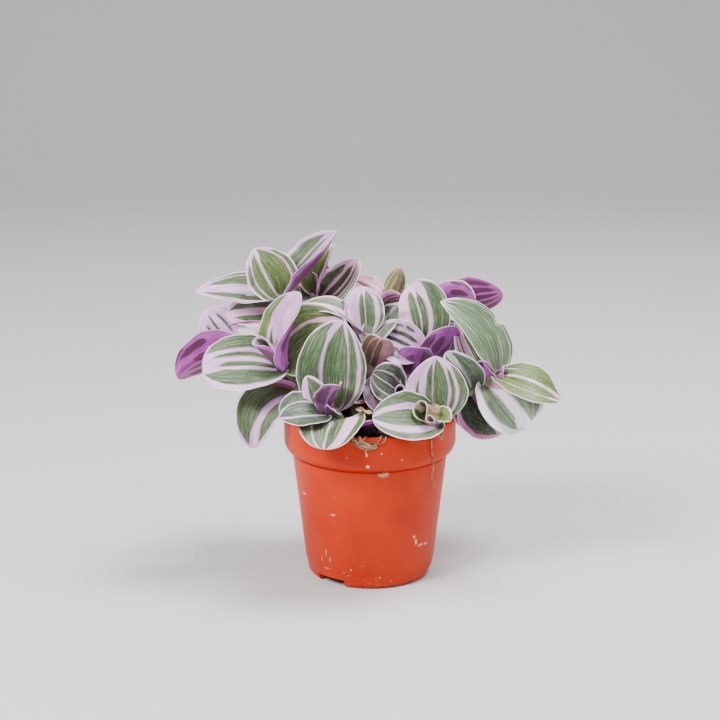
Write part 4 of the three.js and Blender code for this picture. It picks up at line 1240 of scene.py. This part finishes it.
def dryMaterial():
    material, tree, shader = newMaterial("driedFibre")
    point = objectPoint(tree)
    blotch = noiseAt(tree, point, 320.0, 3.0, 0.6)
    grit = noiseAt(tree, point, 1500.0, 2.0, 0.6)
    color = blendColor(tree, smoothStep(blotch, 0.36, 0.62), (0.130, 0.068, 0.030), (0.430, 0.290, 0.160))
    color = blendColor(tree, smoothStep(grit, 0.55, 0.72) * 0.6, color, (0.62, 0.50, 0.36))
    giveSurface(tree, shader, color, 0.62 + grit * 0.2, grit, 0.5, 0.3)
    return material


def makeStrand(name, build, material):
    # It thins towards its end, and swells a little here and there
    nodes = [Vector(place) for place in build["points"]]
    places = [place for place, share in catmull(nodes, strandBuild["stepsBetween"])]
    count = len(places)
    thick = []
    for step in range(count):
        swelling = 1 + strandBuild["swell"] * math.sin(step * strandBuild["swellPace"])
        thick.append(build["thick"] * mm * (1.0 - strandBuild["taper"] * step / count) * swelling)
    return makeRod(name, places, thick, [0.0] * count, strandBuild, material)


dryFinish = dryMaterial()
strands = {name: makeStrand(name, build, dryFinish) for name, build in looseStrands.items()}
scraps = makeLeaves("driedScraps", driedScraps, leafNodes, dryFinish, random.Random(3))
hangingRoot = strands.pop("hangingRoot")
looseBits = joinPieces("looseBits", [scraps, *strands.values()])
for piece, slot in ((looseBits, "potting_soil"), (hangingRoot, "striped_leaf")):
    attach(piece, "root")
print("loose bits made")


# Floor, light and camera, in metres

def makeFloor():
    # A floor that sweeps up into a back wall far behind the plant
    wide, front, bend, radius, top, steps = 4.0, -2.0, 1.2, 0.8, 3.0, 12
    angles = [step * math.pi / 2 / steps for step in range(1, steps + 1)]
    line = [(front, 0.0), (bend, 0.0)]
    line += [(bend + radius * math.sin(angle), radius * (1 - math.cos(angle))) for angle in angles]
    line.append((bend + radius, top))
    spots = [(x, y, z) for y, z in line for x in (-wide, wide)]
    faces = [(2 * step, 2 * step + 1, 2 * step + 3, 2 * step + 2) for step in range(len(line) - 1)]
    floor = meshObject("studioFloor", spots, faces)
    for polygon in floor.data.polygons:
        polygon.use_smooth = True
    material, tree, shader = newMaterial("paleFloor")
    shader.inputs["Base Color"].default_value = (0.62, 0.61, 0.60, 1)
    shader.inputs["Roughness"].default_value = 0.7
    floor.data.materials.append(material)


def addLight(name, place, aim, size, power):
    light = bpy.data.lights.new(name, "AREA")
    light.size = size
    light.energy = power
    holder = addObject(name, light)
    holder.location = place
    holder.rotation_euler = (Vector(aim) - Vector(place)).to_track_quat("-Z", "Y").to_euler()


def addCamera():
    # A 90 mm lens on a 36 mm sensor, above the plant and looking 14.5 degrees down
    camera = addObject("camera", bpy.data.cameras.new("camera"))
    camera.data.lens = 90
    camera.data.sensor_width = 36
    camera.data.clip_start = 0.05
    camera.location = (-0.0052, -0.9052, 0.3486)
    camera.rotation_euler = (math.radians(90 - 14.5), 0, 0)
    bpy.context.scene.camera = camera


def skyLight(strength):
    world = bpy.data.worlds.new("softSky")
    world.use_nodes = True
    background = world.node_tree.nodes["Background"]
    background.inputs["Color"].default_value = (0.93, 0.95, 1.0, 1)
    background.inputs["Strength"].default_value = strength
    bpy.context.scene.world = world


makeFloor()
addCamera()
skyLight(0.42)
plantMiddle = (0, 0, 0.1)
addLight("windowLight", (-0.75, -0.65, 0.95), plantMiddle, 0.45, 27)
addLight("fillLight", (0.9, -0.5, 0.6), plantMiddle, 0.8, 3)
addLight("topLight", (0.4, 0.05, 1.2), plantMiddle, 0.5, 24)

print("pieces finished")
